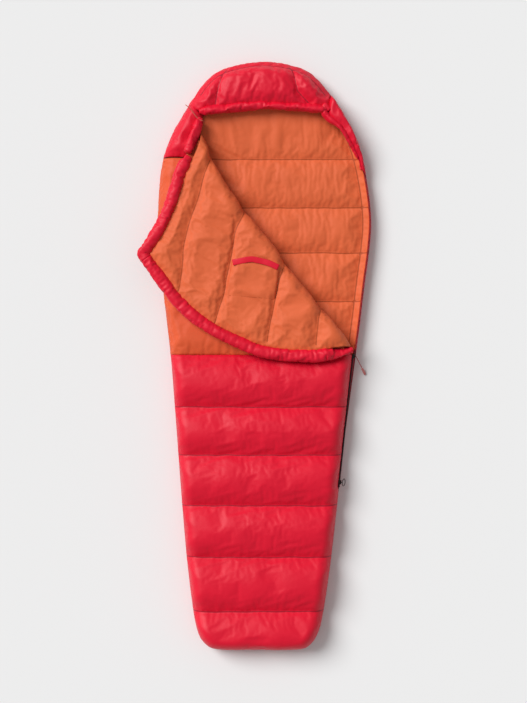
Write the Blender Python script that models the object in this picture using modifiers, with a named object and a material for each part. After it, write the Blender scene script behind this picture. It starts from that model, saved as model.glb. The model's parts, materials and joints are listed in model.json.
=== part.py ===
"""Mummy sleeping bag, lying on its back with the zipped front flap folded open.

The bag is a stack of quilted layers: a back panel on the ground, a hollow for the body,
and a front panel over it. Part of the front panel is a flap that turns on a slanting
fold line. Metres, +Z up, +Y towards the head, origin under the bag on the ground.
"""
import math

import bmesh
import bpy
import numpy as np
from mathutils import Matrix, Vector

# ---- overall sizes -------------------------------------------------------------------
LENGTH = 2.125                 # foot end to crown
SHOULDER_WIDTH = 0.771         # widest, across the chest
PATTERN_LENGTH = 2.125         # size that the outline below is drawn at
PATTERN_WIDTH = 0.771

# ---- layers --------------------------------------------------------------------------
CLOTH = 0.0012                 # a shell or lining cloth
BACK_LOFT = 0.031              # down filling of the back
FRONT_LOFT = 0.035             # down filling of the front
CAVITY = 0.024                 # room for the body, bag lying empty
GAP = 0.0003                   # between neighbouring pieces
SEAM_GAP = 0.0010              # between neighbouring down chambers
EDGE_SEAM = 0.003              # fillings end this far inside the outline

# ---- flap, hood and side pieces --------------------------------------------------------
FOLD_CLEARANCE = 0.0015        # flap and front panel both keep this from the fold line
BAND_WIDTH = 0.042             # padded band along the flap's free edges
SIDE_BAFFLE_WIDTH = 0.028
DRAFT_TUBE_WIDTH = 0.026
DRAFT_TUBE_INSET = 0.020       # leaves room for the zip beside the tube
TUBE_END_GAP = 0.006
ROLL_WIDTH = 0.030             # rolled face edge of the hood
VISOR_CLEARANCE = 0.0030       # around the lifting part of the hood
ROLL_END_CLEARANCE = 0.0050    # between the rolled edge and the right neck panel
POCKET_DEPTH = 0.0062
POCKET_RIM = 0.006
OVERCUT = 0.04                 # cutters reach this far past what they open
CORNER_TRIM = 0.01             # band's inner lines stop this far short of their corner
BINDING_WIDTH = 0.020
BINDING_HEIGHT = 0.0030

# ---- zip -----------------------------------------------------------------------------
TAPE_WIDTH = 0.014             # tape and teeth of the open half
TAPE_THICKNESS = 0.0020
EDGE_TAPE_INSET = 0.0005
CLOSED_TAPE_WIDTH = 0.0050     # tape showing beside the closed teeth
CHAIN_WIDTH = 0.0064
CHAIN_THICKNESS = 0.0030
SLIDER_LENGTH = 0.0150
SLIDER_WIDTH = 0.0124
SLIDER_PLATE = 0.0016
SLIDER_CLEARANCE = 0.0006      # chain to slider
SLIDER_LUG = 0.0035            # lug that carries the pull
LUG_SIDE = 0.0030
STOP_LENGTH = 0.0060
STOP_HEIGHT = 0.0042
OPEN_HALF_START = 0.012        # open tape starts this far above the closed teeth
UPPER_SLIDER_AT = 0.004        # slider centres, measured from the two ends of the teeth
LOWER_SLIDER_AT = 0.012
PULL_CORD_RADIUS = 0.0013
PULL_CORD_LENGTH = 0.057
GRIP_LENGTH = 0.030
GRIP_WIDTH = 0.0085
GRIP_THICKNESS = 0.0040
GRIP_ROUNDING = 0.0012
GRIP_REST_HEIGHT = 0.0045      # pull's far end above the ground
PULL_HEADING = -61.3           # degrees in plan, outwards and towards the foot
LOOP_LENGTH = 0.021
LOOP_WIDTH = 0.026
LOOP_RADIUS = 0.0013
LOOP_DROP = 60.0               # degrees below level

# ---- hood drawcord -------------------------------------------------------------------
DRAWCORD_RADIUS = 0.0014
LOCK_PLACE = (-0.262, 0.800)   # on the lining at the left of the neck
LOCK_RADIUS = 0.0075
LOCK_LENGTH = 0.0190
LOCK_WALL = 0.0015
LOCK_BASE = 0.0020
PLUNGER_CLEARANCE = 0.0003
PLUNGER_LENGTH = 0.0150
PLUNGER_OUT = 0.0065           # stands out of the barrel
CORD_HOLE_RADIUS = 0.0021
SPRING_RADIUS = 0.0042
SPRING_WIRE = 0.00035
SPRING_TURNS = 4
SPRING_STEPS = 9               # points in each turn

# ---- heights of the layers -------------------------------------------------------------
BACK_TOP = CLOTH + GAP + BACK_LOFT + GAP + CLOTH
FRONT_LOW = BACK_TOP + CAVITY
FRONT_THICKNESS = CLOTH + GAP + FRONT_LOFT + GAP + CLOTH
FRONT_TOP = FRONT_LOW + FRONT_THICKNESS
FOLD_HEIGHT = FRONT_TOP + GAP
CHAIN_HEIGHT = BACK_TOP + CAVITY / 2

SCALE = Vector((SHOULDER_WIDTH / PATTERN_WIDTH, LENGTH / PATTERN_LENGTH))


def graded(points):
    """Take pattern points to the bag's own length and width."""
    return [Vector((x * SCALE.x, y * SCALE.y)) for x, y in points]


# Outline from the foot, up the left side, over the crown and down the right side.
OUTLINE = graded([
    (-0.012, -1.0625), (-0.150, -1.0620), (-0.208, -1.0390), (-0.2425, -0.956), (-0.275, -0.702),
    (-0.304, -0.340), (-0.3305, 0.0), (-0.362, 0.275), (-0.3765, 0.492), (-0.358, 0.7095),
    (-0.297, 0.854), (-0.1955, 0.999), (-0.105, 1.047), (0.007, 1.0625), (0.115, 1.047),
    (0.1990, 0.999), (0.300, 0.860), (0.362, 0.7095), (0.3946, 0.492), (0.373, 0.275),
    (0.3385, 0.0), (0.293, -0.340), (0.253, -0.702), (0.215, -0.956), (0.178, -1.0390),
    (0.125, -1.0620)])

# Sewn lines across the bag.
NECK_SEAM = 0.712 * SCALE.y
WAIST_SEAM = 0.0025 * SCALE.y
BACK_SEAMS = [y * SCALE.y for y in (-0.9195, -0.724, -0.539, -0.357, -0.184, 0.0145, 0.197, 0.373, 0.5365)]
FRONT_SEAMS = [y * SCALE.y for y in (-0.9195, -0.724, -0.539, -0.357, -0.184)]
LEFT_FRONT_SEAM = 0.285 * SCALE.y

# The slanting fold: its upper end at the neck, its lower end at the top of the closed zip.
FOLD_TOP, FOLD_END = graded([(-0.2367, 0.7801), (0.2896, 0.0308)])
FOLD_ALONG = (FOLD_END - FOLD_TOP).normalized()
FOLD_RIGHT = Vector((-FOLD_ALONG.y, FOLD_ALONG.x))

# The flap is drawn closed: its neck edge from the fold to the corner, then its zip edge.
FLAP_NECK_EDGE = graded([(-0.245, 0.7840), (-0.1074, 0.8082), (-0.001, 0.8040), (0.0738, 0.8066),
                         (0.1573, 0.8212), (0.2333, 0.8362)])
FLAP_ZIP_EDGE = graded([(0.2333, 0.8362), (0.331, 0.6915), (0.3823, 0.5922), (0.412, 0.471),
                        (0.4238, 0.3195), (0.4108, 0.2259), (0.3847, 0.130), (0.3545, 0.067),
                        (0.311, 0.0088)])
FLAP_SEAMS = [graded(line) for line in (
    [(-0.140, 0.707), (0.261, 0.660)],
    [(-0.033, 0.526), (0.311, 0.497)],
    [(0.129, 0.328), (0.321, 0.302)])]
POCKET_MOUTH = graded([(0.130, 0.510), (0.098, 0.455), (0.091, 0.427), (0.087, 0.385), (0.0897, 0.344)])
POCKET_BOTTOM = graded([(0.2134, 0.3183), (0.2587, 0.488)])

# Hood: the visor lifts at the crown line; the roll is its face edge.
CROWN_LINE = 1.030 * SCALE.y
VISOR_NOTCH_LEFT, VISOR_NOTCH_RIGHT = graded([(-0.254, 0.9086), (0.2534, 0.935)])
FACE_EDGE = graded([(-0.225, 0.858), (-0.188, 0.868), (-0.083, 0.883), (0.022, 0.886),
                    (0.112, 0.882), (0.202, 0.876), (0.236, 0.866)])
VISOR_SEAMS = [graded(line) for line in (
    [(-0.143, 1.014), (-0.170, 0.912)],
    [(0.127, 0.951), (0.181, 0.898)])]
NECK_RIGHT_INNER = graded([(0.282, 0.8225), (0.317, 0.775), (0.349, 0.714), (0.3585, 0.672)])
NECK_LEFT_INNER = graded([(-0.2255, 0.8530), (-0.213, 0.835), (-0.224, 0.800), (-0.236, 0.7905), (-0.2434, 0.7872)])

# Closed stretch of the zip, from the upper slider to the lower one.
ZIP_TOP, ZIP_LOW = graded([(0.3287, 0.0036), (0.278, -0.469)])
ZIP_DOWN = (ZIP_LOW - ZIP_TOP).normalized()
ZIP_OUT = Vector((-ZIP_DOWN.y, ZIP_DOWN.x))

# The drawcord comes out beside the hood, lies over the neck and goes back in at the face.
DRAWCORD_ROUTE = [
    (-0.2745, 0.9030, -0.0160), (-0.2745, 0.9020, -0.0080), (-0.2735, 0.9005, 0.0012),
    (-0.2650, 0.8935, 0.0030), (-0.2550, 0.8835, 0.0022), (-0.2450, 0.8700, 0.0022),
    (-0.2350, 0.8570, 0.0022), (-0.2245, 0.8480, 0.0022), (-0.2140, 0.8440, 0.0020),
    (-0.2095, 0.8430, -0.0060), (-0.2090, 0.8430, -0.0160)]

PARTS = "mummy_sleeping_bag"
CUTTERS = "cutters"


# ---- plane geometry --------------------------------------------------------------------
def smooth(points, steps, closed=False):
    """Catmull-Rom curve through the points."""
    count = len(points)
    spans = count if closed else count - 1
    result = []
    for i in range(spans):
        a = points[(i - 1) % count] if closed or i > 0 else points[i] * 2 - points[i + 1]
        b, c = points[i], points[(i + 1) % count]
        d = points[(i + 2) % count] if closed or i + 2 < count else points[i + 1] * 2 - points[i]
        for step in range(steps):
            t = step / steps
            result.append(0.5 * (2 * b + (c - a) * t + (2 * a - 5 * b + 4 * c - d) * t * t
                                 + (3 * b - a - 3 * c + d) * t * t * t))
    return result if closed else result + [points[-1]]


def offset(points, distance, closed=False):
    """Move a line sideways, to its right as it runs when the distance is positive."""
    count = len(points)
    moved = []
    for i, point in enumerate(points):
        before = points[i - 1] if closed or i > 0 else point
        after = points[(i + 1) % count] if closed or i + 1 < count else point
        run = (after - before).normalized()
        moved.append(point + Vector((run.y, -run.x)) * distance)
    return moved


def clip(polygon, point, keep):
    """Cut a polygon by a straight line through a point, keeping the side that keep points to."""
    kept = []
    for i, b in enumerate(polygon):
        a = polygon[i - 1]
        side_a, side_b = (a - point).dot(keep), (b - point).dot(keep)
        if side_a * side_b < 0:
            kept.append(a.lerp(b, side_a / (side_a - side_b)))
        if side_b >= 0:
            kept.append(b)
    return kept


def between(polygon, low=None, high=None):
    """The part of a polygon between two heights in Y."""
    if low is not None:
        polygon = clip(polygon, Vector((0, low)), Vector((0, 1)))
    if high is not None:
        polygon = clip(polygon, Vector((0, high)), Vector((0, -1)))
    return polygon


def beside_line(polygon, line, side, clearance):
    """The part of a polygon on one side of a sewn line: 1 above it, -1 below it."""
    run = (line[1] - line[0]).normalized()
    up = Vector((-run.y, run.x)) * side
    return clip(polygon, line[0] + up * clearance, up)


def folded(points):
    """Lay points of the closed flap over to where they rest with the flap open."""
    return [p - FOLD_RIGHT * 2 * (p - FOLD_TOP).dot(FOLD_RIGHT) for p in points]


def band(line, width):
    """A strip to the right of a line."""
    return line + offset(line, width)[::-1]


EDGE = smooth(OUTLINE, 2, closed=True)
FILL_EDGE = offset(EDGE, EDGE_SEAM, closed=True)
LEFT_OF_FOLD = (FOLD_TOP - FOLD_RIGHT * FOLD_CLEARANCE, -FOLD_RIGHT)
RIGHT_OF_FOLD = (FOLD_TOP + FOLD_RIGHT * FOLD_CLEARANCE, FOLD_RIGHT)


def edge_run(y_from, y_to, side, inset=0.0):
    """Outline points on one side (-1 left, 1 right) from one Y to another."""
    line = [p for p in offset(EDGE, inset, closed=True) if p.x * side > 0]
    low, high = min(y_from, y_to), max(y_from, y_to)
    ordered = sorted(line, key=lambda p: p.y)
    ys = [p.y for p in ordered]
    xs = [p.x for p in ordered]
    inner = [p for p in ordered if low < p.y < high]
    ends = [Vector((float(np.interp(y, ys, xs)), y)) for y in (low, high)]
    run = [ends[0]] + inner + [ends[1]]
    return run if y_from < y_to else run[::-1]


def edge_loop(side_from, y_from, side_to, y_to):
    """The outline from a point on one side to a point on the other: over the crown when it starts
    on the left, round the foot when it starts on the right."""
    crown = max(range(len(EDGE)), key=lambda i: EDGE[i].y)
    left, right = EDGE[:crown], EDGE[crown:]
    start = edge_run(y_from, y_from, side_from)[0]
    end = edge_run(y_to, y_to, side_to)[0]
    if side_from < 0:
        middle = [p for p in left if p.y > y_from] + [p for p in right if p.y > y_to]
    else:
        middle = [p for p in right if p.y < y_from] + [p for p in left if p.y < y_to]
    return [start] + middle + [end]


# ---- making pieces ---------------------------------------------------------------------
def fresh_scene():
    for obj in list(bpy.data.objects):
        bpy.data.objects.remove(obj, do_unlink=True)
    for name in (PARTS, CUTTERS):
        bpy.context.scene.collection.children.link(bpy.data.collections.new(name))


def material(name, colour, roughness, metallic=0.0):
    finish = bpy.data.materials.new(name)
    finish.use_nodes = True
    shader = finish.node_tree.nodes["Principled BSDF"]
    shader.inputs["Base Color"].default_value = (*colour, 1.0)
    shader.inputs["Roughness"].default_value = roughness
    shader.inputs["Metallic"].default_value = metallic
    finish.diffuse_color = (*colour, 1.0)
    return finish


def link(obj, finish, collection=PARTS):
    bpy.data.collections[collection].objects.link(obj)
    obj.data.materials.clear()
    obj.data.materials.append(finish)
    return obj


def slab(name, polygon, low, high, finish):
    """A flat piece with the given outline between two heights."""
    curve = bpy.data.curves.new(name, "CURVE")
    curve.dimensions = "2D"
    curve.fill_mode = "BOTH"
    curve.extrude = (high - low) / 2
    spline = curve.splines.new("POLY")
    spline.points.add(len(polygon) - 1)
    for point, place in zip(spline.points, polygon):
        point.co = (place.x, place.y, 0, 1)
    spline.use_cyclic_u = True
    obj = bpy.data.objects.new(name, curve)
    obj.location = (0, 0, (low + high) / 2)
    return link(obj, finish)


def as_mesh(obj):
    """Replace a curve object by its welded mesh, so that it can be cut."""
    bpy.context.view_layer.update()
    evaluated = obj.evaluated_get(bpy.context.evaluated_depsgraph_get())
    mesh = bpy.data.meshes.new_from_object(evaluated)
    name, finish, place = obj.name, obj.data.materials[0], obj.matrix_world.copy()
    bpy.data.objects.remove(obj, do_unlink=True)
    weld(mesh)
    solid = bpy.data.objects.new(name, mesh)
    solid.matrix_world = place
    return link(solid, finish)


def weld(mesh):
    shape = bmesh.new()
    shape.from_mesh(mesh)
    bmesh.ops.remove_doubles(shape, verts=shape.verts, dist=0.00001)
    bmesh.ops.recalc_face_normals(shape, faces=shape.faces)
    shape.to_mesh(mesh)
    shape.free()


def block(name, size, place, along, finish, collection=PARTS):
    """A box centred at a place, its length turned to run along a direction in plan."""
    bpy.ops.mesh.primitive_cube_add(size=1)
    obj = bpy.context.object
    obj.name = name
    obj.data.name = name
    obj.data.transform(Matrix.Diagonal((*size, 1)))
    for owner in list(obj.users_collection):
        owner.objects.unlink(obj)
    obj.location = place
    obj.rotation_euler = (0, 0, math.atan2(along.y, along.x))
    return link(obj, finish, collection)


def cut(obj, cutter):
    cutter.hide_render = True
    cutter.display_type = "WIRE"
    modifier = obj.modifiers.new("cut", "BOOLEAN")
    modifier.operation = "DIFFERENCE"
    modifier.solver = "EXACT"
    modifier.object = cutter


def join(obj, other):
    other.hide_render = True
    other.display_type = "WIRE"
    modifier = obj.modifiers.new("join", "BOOLEAN")
    modifier.operation = "UNION"
    modifier.solver = "EXACT"
    modifier.object = other


def tube(name, points, radius, finish, closed=False):
    """A round cord along the points."""
    curve = bpy.data.curves.new(name, "CURVE")
    curve.dimensions = "3D"
    curve.bevel_depth = radius
    curve.bevel_resolution = 2
    curve.use_fill_caps = not closed
    spline = curve.splines.new("POLY")
    spline.points.add(len(points) - 1)
    for point, place in zip(spline.points, points):
        point.co = (*place, 1)
    spline.use_cyclic_u = closed
    return link(bpy.data.objects.new(name, curve), finish)


def turned(name, profile, finish, sides=20):
    """A round piece turned about Z from (radius, height) points, listed top to bottom outside."""
    mesh = bpy.data.meshes.new(name)
    mesh.from_pydata([(r, 0, z) for r, z in profile], [(i, i + 1) for i in range(len(profile) - 1)], [])
    obj = bpy.data.objects.new(name, mesh)
    screw = obj.modifiers.new("turn", "SCREW")
    screw.steps = screw.render_steps = sides
    screw.use_merge_vertices = True
    screw.merge_threshold = 0.00001
    return link(obj, finish)


def finishes():
    return {
        "shell_red": material("shell_red", (0.72, 0.020, 0.052), 0.42),
        "shell_orange": material("shell_orange", (0.76, 0.13, 0.045), 0.45),
        "lining": material("lining_orange", (0.71, 0.15, 0.060), 0.55),
        "down": material("down", (0.86, 0.85, 0.82), 0.9),
        "tape": material("zip_tape", (0.50, 0.012, 0.035), 0.7),
        "chain": material("zip_chain", (0.05, 0.045, 0.05), 0.4),
        "metal": material("slider_metal", (0.30, 0.32, 0.36), 0.3, 1.0),
        "cord": material("pull_cord", (0.62, 0.03, 0.05), 0.7),
        "grip": material("pull_grip", (0.75, 0.74, 0.72), 0.35),
        "loop": material("loop_cord", (0.05, 0.03, 0.03), 0.7),
        "drawcord": material("drawcord", (0.60, 0.23, 0.20), 0.7),
        "plastic": material("lock_plastic", (0.04, 0.04, 0.045), 0.4),
        "steel": material("spring_steel", (0.5, 0.5, 0.52), 0.3, 1.0),
    }


# ---- back panel ------------------------------------------------------------------------
def chambers(prefix, polygon, seams, low, high, finish):
    """Down chambers between sewn lines across the bag, numbered from the foot."""
    bounds = [None] + seams + [None]
    for i in range(len(bounds) - 1):
        start = None if bounds[i] is None else bounds[i] + SEAM_GAP / 2
        end = None if bounds[i + 1] is None else bounds[i + 1] - SEAM_GAP / 2
        slab(f"{prefix}_{i + 1:02d}", between(polygon, start, end), low, high, finish)


def back_panel(f):
    fill_low = CLOTH + GAP
    fill_high = fill_low + BACK_LOFT
    slab("back_shell", EDGE, 0, CLOTH, f["shell_red"])
    body = between(FILL_EDGE, high=NECK_SEAM - SEAM_GAP / 2)
    chambers("back_fill", body, BACK_SEAMS, fill_low, fill_high, f["down"])
    slab("hood_back_fill", between(FILL_EDGE, low=NECK_SEAM + SEAM_GAP / 2), fill_low, fill_high, f["down"])
    slab("back_lining", EDGE, BACK_TOP - CLOTH, BACK_TOP, f["lining"])


def side_baffles(f):
    """Padded strips that stand between the back and the front along the outline."""
    low, high = BACK_TOP + GAP, FRONT_LOW - GAP
    notch_left, notch_right = VISOR_NOTCH_LEFT.y, NECK_RIGHT_INNER[-1].y
    around_foot = edge_loop(1, ZIP_LOW.y - STOP_LENGTH * 2, -1, notch_left)
    slab("side_baffle", band(around_foot, SIDE_BAFFLE_WIDTH), low, high, f["lining"])
    around_hood = edge_loop(-1, notch_left + SEAM_GAP, 1, notch_right + SEAM_GAP)
    rim = between(band(around_hood, SIDE_BAFFLE_WIDTH), low=notch_right + SEAM_GAP)
    slab("hood_rim_baffle", rim, low, high, f["lining"])
    beside_zip = edge_run(notch_right, ZIP_LOW.y - STOP_LENGTH * 2, 1, DRAFT_TUBE_INSET)
    tube_low = ZIP_LOW.y - STOP_LENGTH * 2 + TUBE_END_GAP
    draft_tube = between(band(beside_zip, DRAFT_TUBE_WIDTH), tube_low, notch_right)
    slab("zip_draft_tube", draft_tube, low, high, f["lining"])


# ---- front panel -----------------------------------------------------------------------
def front_panel(f):
    fill_low = FRONT_LOW + CLOTH + GAP
    fill_high = fill_low + FRONT_LOFT
    shell_low = FRONT_TOP - CLOTH
    lower = between(EDGE, high=WAIST_SEAM - GAP)
    left = clip(between(EDGE, WAIST_SEAM, NECK_SEAM - GAP), *LEFT_OF_FOLD)
    slab("front_lower_shell", lower, shell_low, FRONT_TOP, f["shell_red"])
    slab("front_left_shell", left, shell_low, FRONT_TOP, f["shell_orange"])
    chambers("front_fill", between(FILL_EDGE, high=WAIST_SEAM - SEAM_GAP / 2), FRONT_SEAMS,
             fill_low, fill_high, f["down"])
    left_fill = clip(between(FILL_EDGE, WAIST_SEAM + SEAM_GAP / 2, NECK_SEAM - SEAM_GAP / 2), *LEFT_OF_FOLD)
    chambers("front_left_fill", left_fill, [LEFT_FRONT_SEAM], fill_low, fill_high, f["down"])
    lining_top = NECK_SEAM - GAP
    lining = edge_loop(1, WAIST_SEAM, -1, lining_top) + [fold_point(lining_top), fold_point(WAIST_SEAM)]
    slab("front_lining", lining, FRONT_LOW, FRONT_LOW + CLOTH, f["lining"])
    neck_left = (edge_run(NECK_SEAM, VISOR_NOTCH_LEFT.y - VISOR_CLEARANCE, -1) + NECK_LEFT_INNER
                 + [fold_point(NECK_SEAM)])
    slab("neck_left_panel", neck_left, FRONT_LOW, FRONT_TOP, f["shell_red"])
    roll_run = (FACE_EDGE[-1] - FACE_EDGE[-2]).normalized()
    beside_roll = FACE_EDGE[-1] + roll_run * ROLL_END_CLEARANCE
    above_roll = beside_roll + Vector((-roll_run.y, roll_run.x)) * ROLL_WIDTH
    neck_right = (edge_run(VISOR_NOTCH_RIGHT.y - VISOR_CLEARANCE, NECK_RIGHT_INNER[-1].y, 1)
                  + NECK_RIGHT_INNER[::-1] + [beside_roll, above_roll])
    slab("neck_right_panel", neck_right, FRONT_LOW, FRONT_TOP, f["shell_red"])


def fold_point(y):
    """The point of the front panel's edge beside the fold at a given Y."""
    start = LEFT_OF_FOLD[0]
    return start + FOLD_ALONG * ((y - start.y) / FOLD_ALONG.y)


# ---- hood ------------------------------------------------------------------------------
def visor_outline(inset):
    left = edge_run(VISOR_NOTCH_LEFT.y + VISOR_CLEARANCE, CROWN_LINE - GAP, -1, inset)
    right = edge_run(CROWN_LINE - GAP, VISOR_NOTCH_RIGHT.y + VISOR_CLEARANCE, 1, inset)
    return left + right


def hood(f):
    fill_low = FRONT_LOW + CLOTH + GAP
    fill_high = fill_low + FRONT_LOFT
    slab("hood_crown_panel", between(EDGE, low=CROWN_LINE), FRONT_LOW, FRONT_TOP, f["shell_red"])
    roll_top = offset(FACE_EDGE, -ROLL_WIDTH)
    above_roll = offset(FACE_EDGE, -ROLL_WIDTH - SEAM_GAP)
    sheet = visor_outline(0) + above_roll[::-1]
    slab("hood_visor_shell", sheet, FRONT_TOP - CLOTH, FRONT_TOP, f["shell_red"])
    slab("hood_visor_lining", sheet, FRONT_LOW, FRONT_LOW + CLOTH, f["lining"])
    inner = visor_outline(EDGE_SEAM) + above_roll[::-1]
    left_seam, right_seam = VISOR_SEAMS
    left_fill = beside_line(inner, left_seam, -1, SEAM_GAP / 2)
    middle = beside_line(inner, left_seam, 1, SEAM_GAP / 2)
    right_fill = beside_line(middle, right_seam, 1, SEAM_GAP / 2)
    middle = beside_line(middle, right_seam, -1, SEAM_GAP / 2)
    slab("hood_visor_fill_left", left_fill, fill_low, fill_high, f["down"])
    slab("hood_visor_fill_middle", middle, fill_low, fill_high, f["down"])
    slab("hood_visor_fill_right", right_fill, fill_low, fill_high, f["down"])
    slab("hood_face_roll", FACE_EDGE + roll_top[::-1], FRONT_LOW, FRONT_TOP, f["shell_red"])


# ---- flap ------------------------------------------------------------------------------
def flap(f):
    """The folded part of the front: its shell faces down and its lining faces up."""
    shell_low = FOLD_HEIGHT + GAP
    band_low = shell_low + CLOTH + GAP
    top = FOLD_HEIGHT + GAP + FRONT_THICKNESS
    neck_edge = smooth(FLAP_NECK_EDGE, 2)
    zip_edge = smooth(FLAP_ZIP_EDGE, 2)
    body_edge = offset(zip_edge, CHAIN_WIDTH + GAP)
    whole = clip(neck_edge[:-1] + body_edge, *RIGHT_OF_FOLD)
    slab("flap_shell", folded(whole), shell_low, shell_low + CLOTH, f["shell_orange"])
    neck_inner = offset(neck_edge, BAND_WIDTH)
    zip_inner = offset(body_edge, BAND_WIDTH)
    corner = meeting(neck_inner, zip_inner)
    neck_inner = [p for p in neck_inner if p.x < corner.x - CORNER_TRIM] + [corner]
    zip_inner = [corner] + [p for p in zip_inner if p.y < corner.y - CORNER_TRIM]
    outer_corner = body_edge[0]
    neck_band = neck_edge[:-1] + [outer_corner] + neck_inner[::-1]
    zip_band = [outer_corner] + body_edge[1:] + zip_inner[::-1]
    mitre = [corner, outer_corner]
    neck_band = beside_line(clip(neck_band, *RIGHT_OF_FOLD), mitre, 1, SEAM_GAP / 2)
    zip_band = beside_line(clip(zip_band, *RIGHT_OF_FOLD), mitre, -1, SEAM_GAP / 2)
    slab("flap_neck_band", folded(neck_band), band_low, top, f["shell_red"])
    slab("flap_zip_band", folded(zip_band), band_low, top, f["shell_red"])
    inner_line = offset(neck_inner[:-1] + zip_inner, SEAM_GAP)
    inner = clip(inner_line, *RIGHT_OF_FOLD)
    slab("flap_lining", folded(inner), top - CLOTH, top, f["lining"])
    flap_fillings(inner, band_low, f)
    chain = clip(zip_edge + offset(zip_edge, CHAIN_WIDTH)[::-1], *RIGHT_OF_FOLD)
    slab("flap_zip_half", folded(chain), shell_low, shell_low + CHAIN_THICKNESS, f["chain"])
    pocket(top, f)


def meeting(first, second):
    """Where two lines cross: the nearest pair of their straight runs."""
    a, b = first[-2], first[-1]
    c, d = second[0], second[1]
    along = b - a
    across = d - c
    share = (c - a).cross(across) / along.cross(across)
    return a + along * share


def flap_fillings(inner, low, f):
    rest = inner
    high = low + FRONT_LOFT
    for i, seam in enumerate(FLAP_SEAMS):
        piece = beside_line(rest, seam, 1, SEAM_GAP / 2)
        rest = beside_line(rest, seam, -1, SEAM_GAP / 2)
        slab(f"flap_fill_{i + 1}", folded(piece), low, high, f["down"])
    slab("flap_fill_4", folded(rest), low, high, f["down"])


def pocket(lining_top, f):
    """A stash pocket sewn on the flap's lining, open along its bound mouth."""
    low = lining_top + GAP
    outline = POCKET_MOUTH + POCKET_BOTTOM
    panel = as_mesh(slab("pocket_panel", folded(outline), low, low + POCKET_DEPTH, f["lining"]))
    inward = (POCKET_BOTTOM[0] - POCKET_BOTTOM[1]).normalized() * POCKET_RIM
    to_mouth = (POCKET_MOUTH[2] - (POCKET_BOTTOM[0] + POCKET_BOTTOM[1]) / 2).normalized()
    past_mouth = to_mouth * OVERCUT
    rim = to_mouth * POCKET_RIM
    hollow = [POCKET_MOUTH[0] + inward + past_mouth, POCKET_MOUTH[-1] - inward + past_mouth,
              POCKET_BOTTOM[0] - inward + rim, POCKET_BOTTOM[1] + inward + rim]
    roof = low + POCKET_DEPTH - CLOTH
    cutter = as_mesh(slab("pocket_hollow", folded(hollow), low - OVERCUT, roof, f["lining"]))
    move_to_cutters(cutter)
    cut(panel, cutter)
    strip = band(POCKET_MOUTH, BINDING_WIDTH)
    top = low + POCKET_DEPTH + GAP
    slab("pocket_binding", folded(strip), top, top + BINDING_HEIGHT, f["shell_red"])


def move_to_cutters(obj):
    bpy.data.collections[PARTS].objects.unlink(obj)
    bpy.data.collections[CUTTERS].objects.link(obj)


# ---- zip -----------------------------------------------------------------------------
def up_to(plan, z):
    return Vector((plan.x, plan.y, z))


def zip_tracks(f):
    low = BACK_TOP + GAP
    side = edge_run(NECK_RIGHT_INNER[-1].y, ZIP_TOP.y + OPEN_HALF_START, 1, EDGE_TAPE_INSET)
    slab("zip_back_half", band(side, TAPE_WIDTH), low, low + TAPE_THICKNESS, f["chain"])
    length = (ZIP_LOW - ZIP_TOP).length
    middle = (ZIP_TOP + ZIP_LOW) / 2
    block("zip_closed_teeth", (length, CHAIN_WIDTH, CHAIN_THICKNESS), up_to(middle, CHAIN_HEIGHT), ZIP_DOWN,
          f["chain"])
    inwards = ZIP_OUT * -(CHAIN_WIDTH / 2 + GAP + CLOSED_TAPE_WIDTH / 2)
    block("zip_closed_tape", (length, CLOSED_TAPE_WIDTH, TAPE_THICKNESS), up_to(middle + inwards, CHAIN_HEIGHT),
          ZIP_DOWN, f["tape"])
    stop = ZIP_LOW + ZIP_DOWN * (GAP + STOP_LENGTH / 2)
    block("zip_bottom_stop", (STOP_LENGTH, CHAIN_WIDTH, STOP_HEIGHT), up_to(stop, CHAIN_HEIGHT), ZIP_DOWN,
          f["metal"])


def slider(name, place, f):
    """Two plates round the teeth, joined by an outer wall with a lug for the pull."""
    slot_height = CHAIN_THICKNESS + 2 * SLIDER_CLEARANCE
    size = (SLIDER_LENGTH, SLIDER_WIDTH, slot_height + 2 * SLIDER_PLATE)
    body = block(name, size, up_to(place, CHAIN_HEIGHT), ZIP_DOWN, f["metal"])
    slot_side = CHAIN_WIDTH / 2 + SLIDER_CLEARANCE
    slot_width = SLIDER_WIDTH
    slot_place = place + ZIP_OUT * (slot_side - slot_width / 2)
    slot = block(name + "_slot", (SLIDER_LENGTH * 2, slot_width, slot_height), up_to(slot_place, CHAIN_HEIGHT),
                 ZIP_DOWN, f["metal"], CUTTERS)
    cut(body, slot)
    sunk = 0.001
    lug_place = place + ZIP_OUT * (SLIDER_WIDTH / 2 + SLIDER_LUG / 2 - sunk / 2)
    lug_size = (LUG_SIDE, SLIDER_LUG + sunk, LUG_SIDE)
    lug = block(name + "_lug", lug_size, up_to(lug_place, CHAIN_HEIGHT), ZIP_DOWN, f["metal"], CUTTERS)
    join(body, lug)


def lug_tip(place, cord_radius):
    """Pivot of a pull: its cord turns against the lug's end."""
    return up_to(place + ZIP_OUT * (SLIDER_WIDTH / 2 + SLIDER_LUG + GAP + cord_radius), CHAIN_HEIGHT)


def pull_direction():
    """From the upper slider's lug down to the ground beside the bag."""
    total = PULL_CORD_LENGTH + GAP + GRIP_LENGTH
    drop = math.asin((CHAIN_HEIGHT - GRIP_REST_HEIGHT) / total)
    heading = math.radians(PULL_HEADING)
    return Vector((math.cos(heading) * math.cos(drop), math.sin(heading) * math.cos(drop), -math.sin(drop)))


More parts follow.
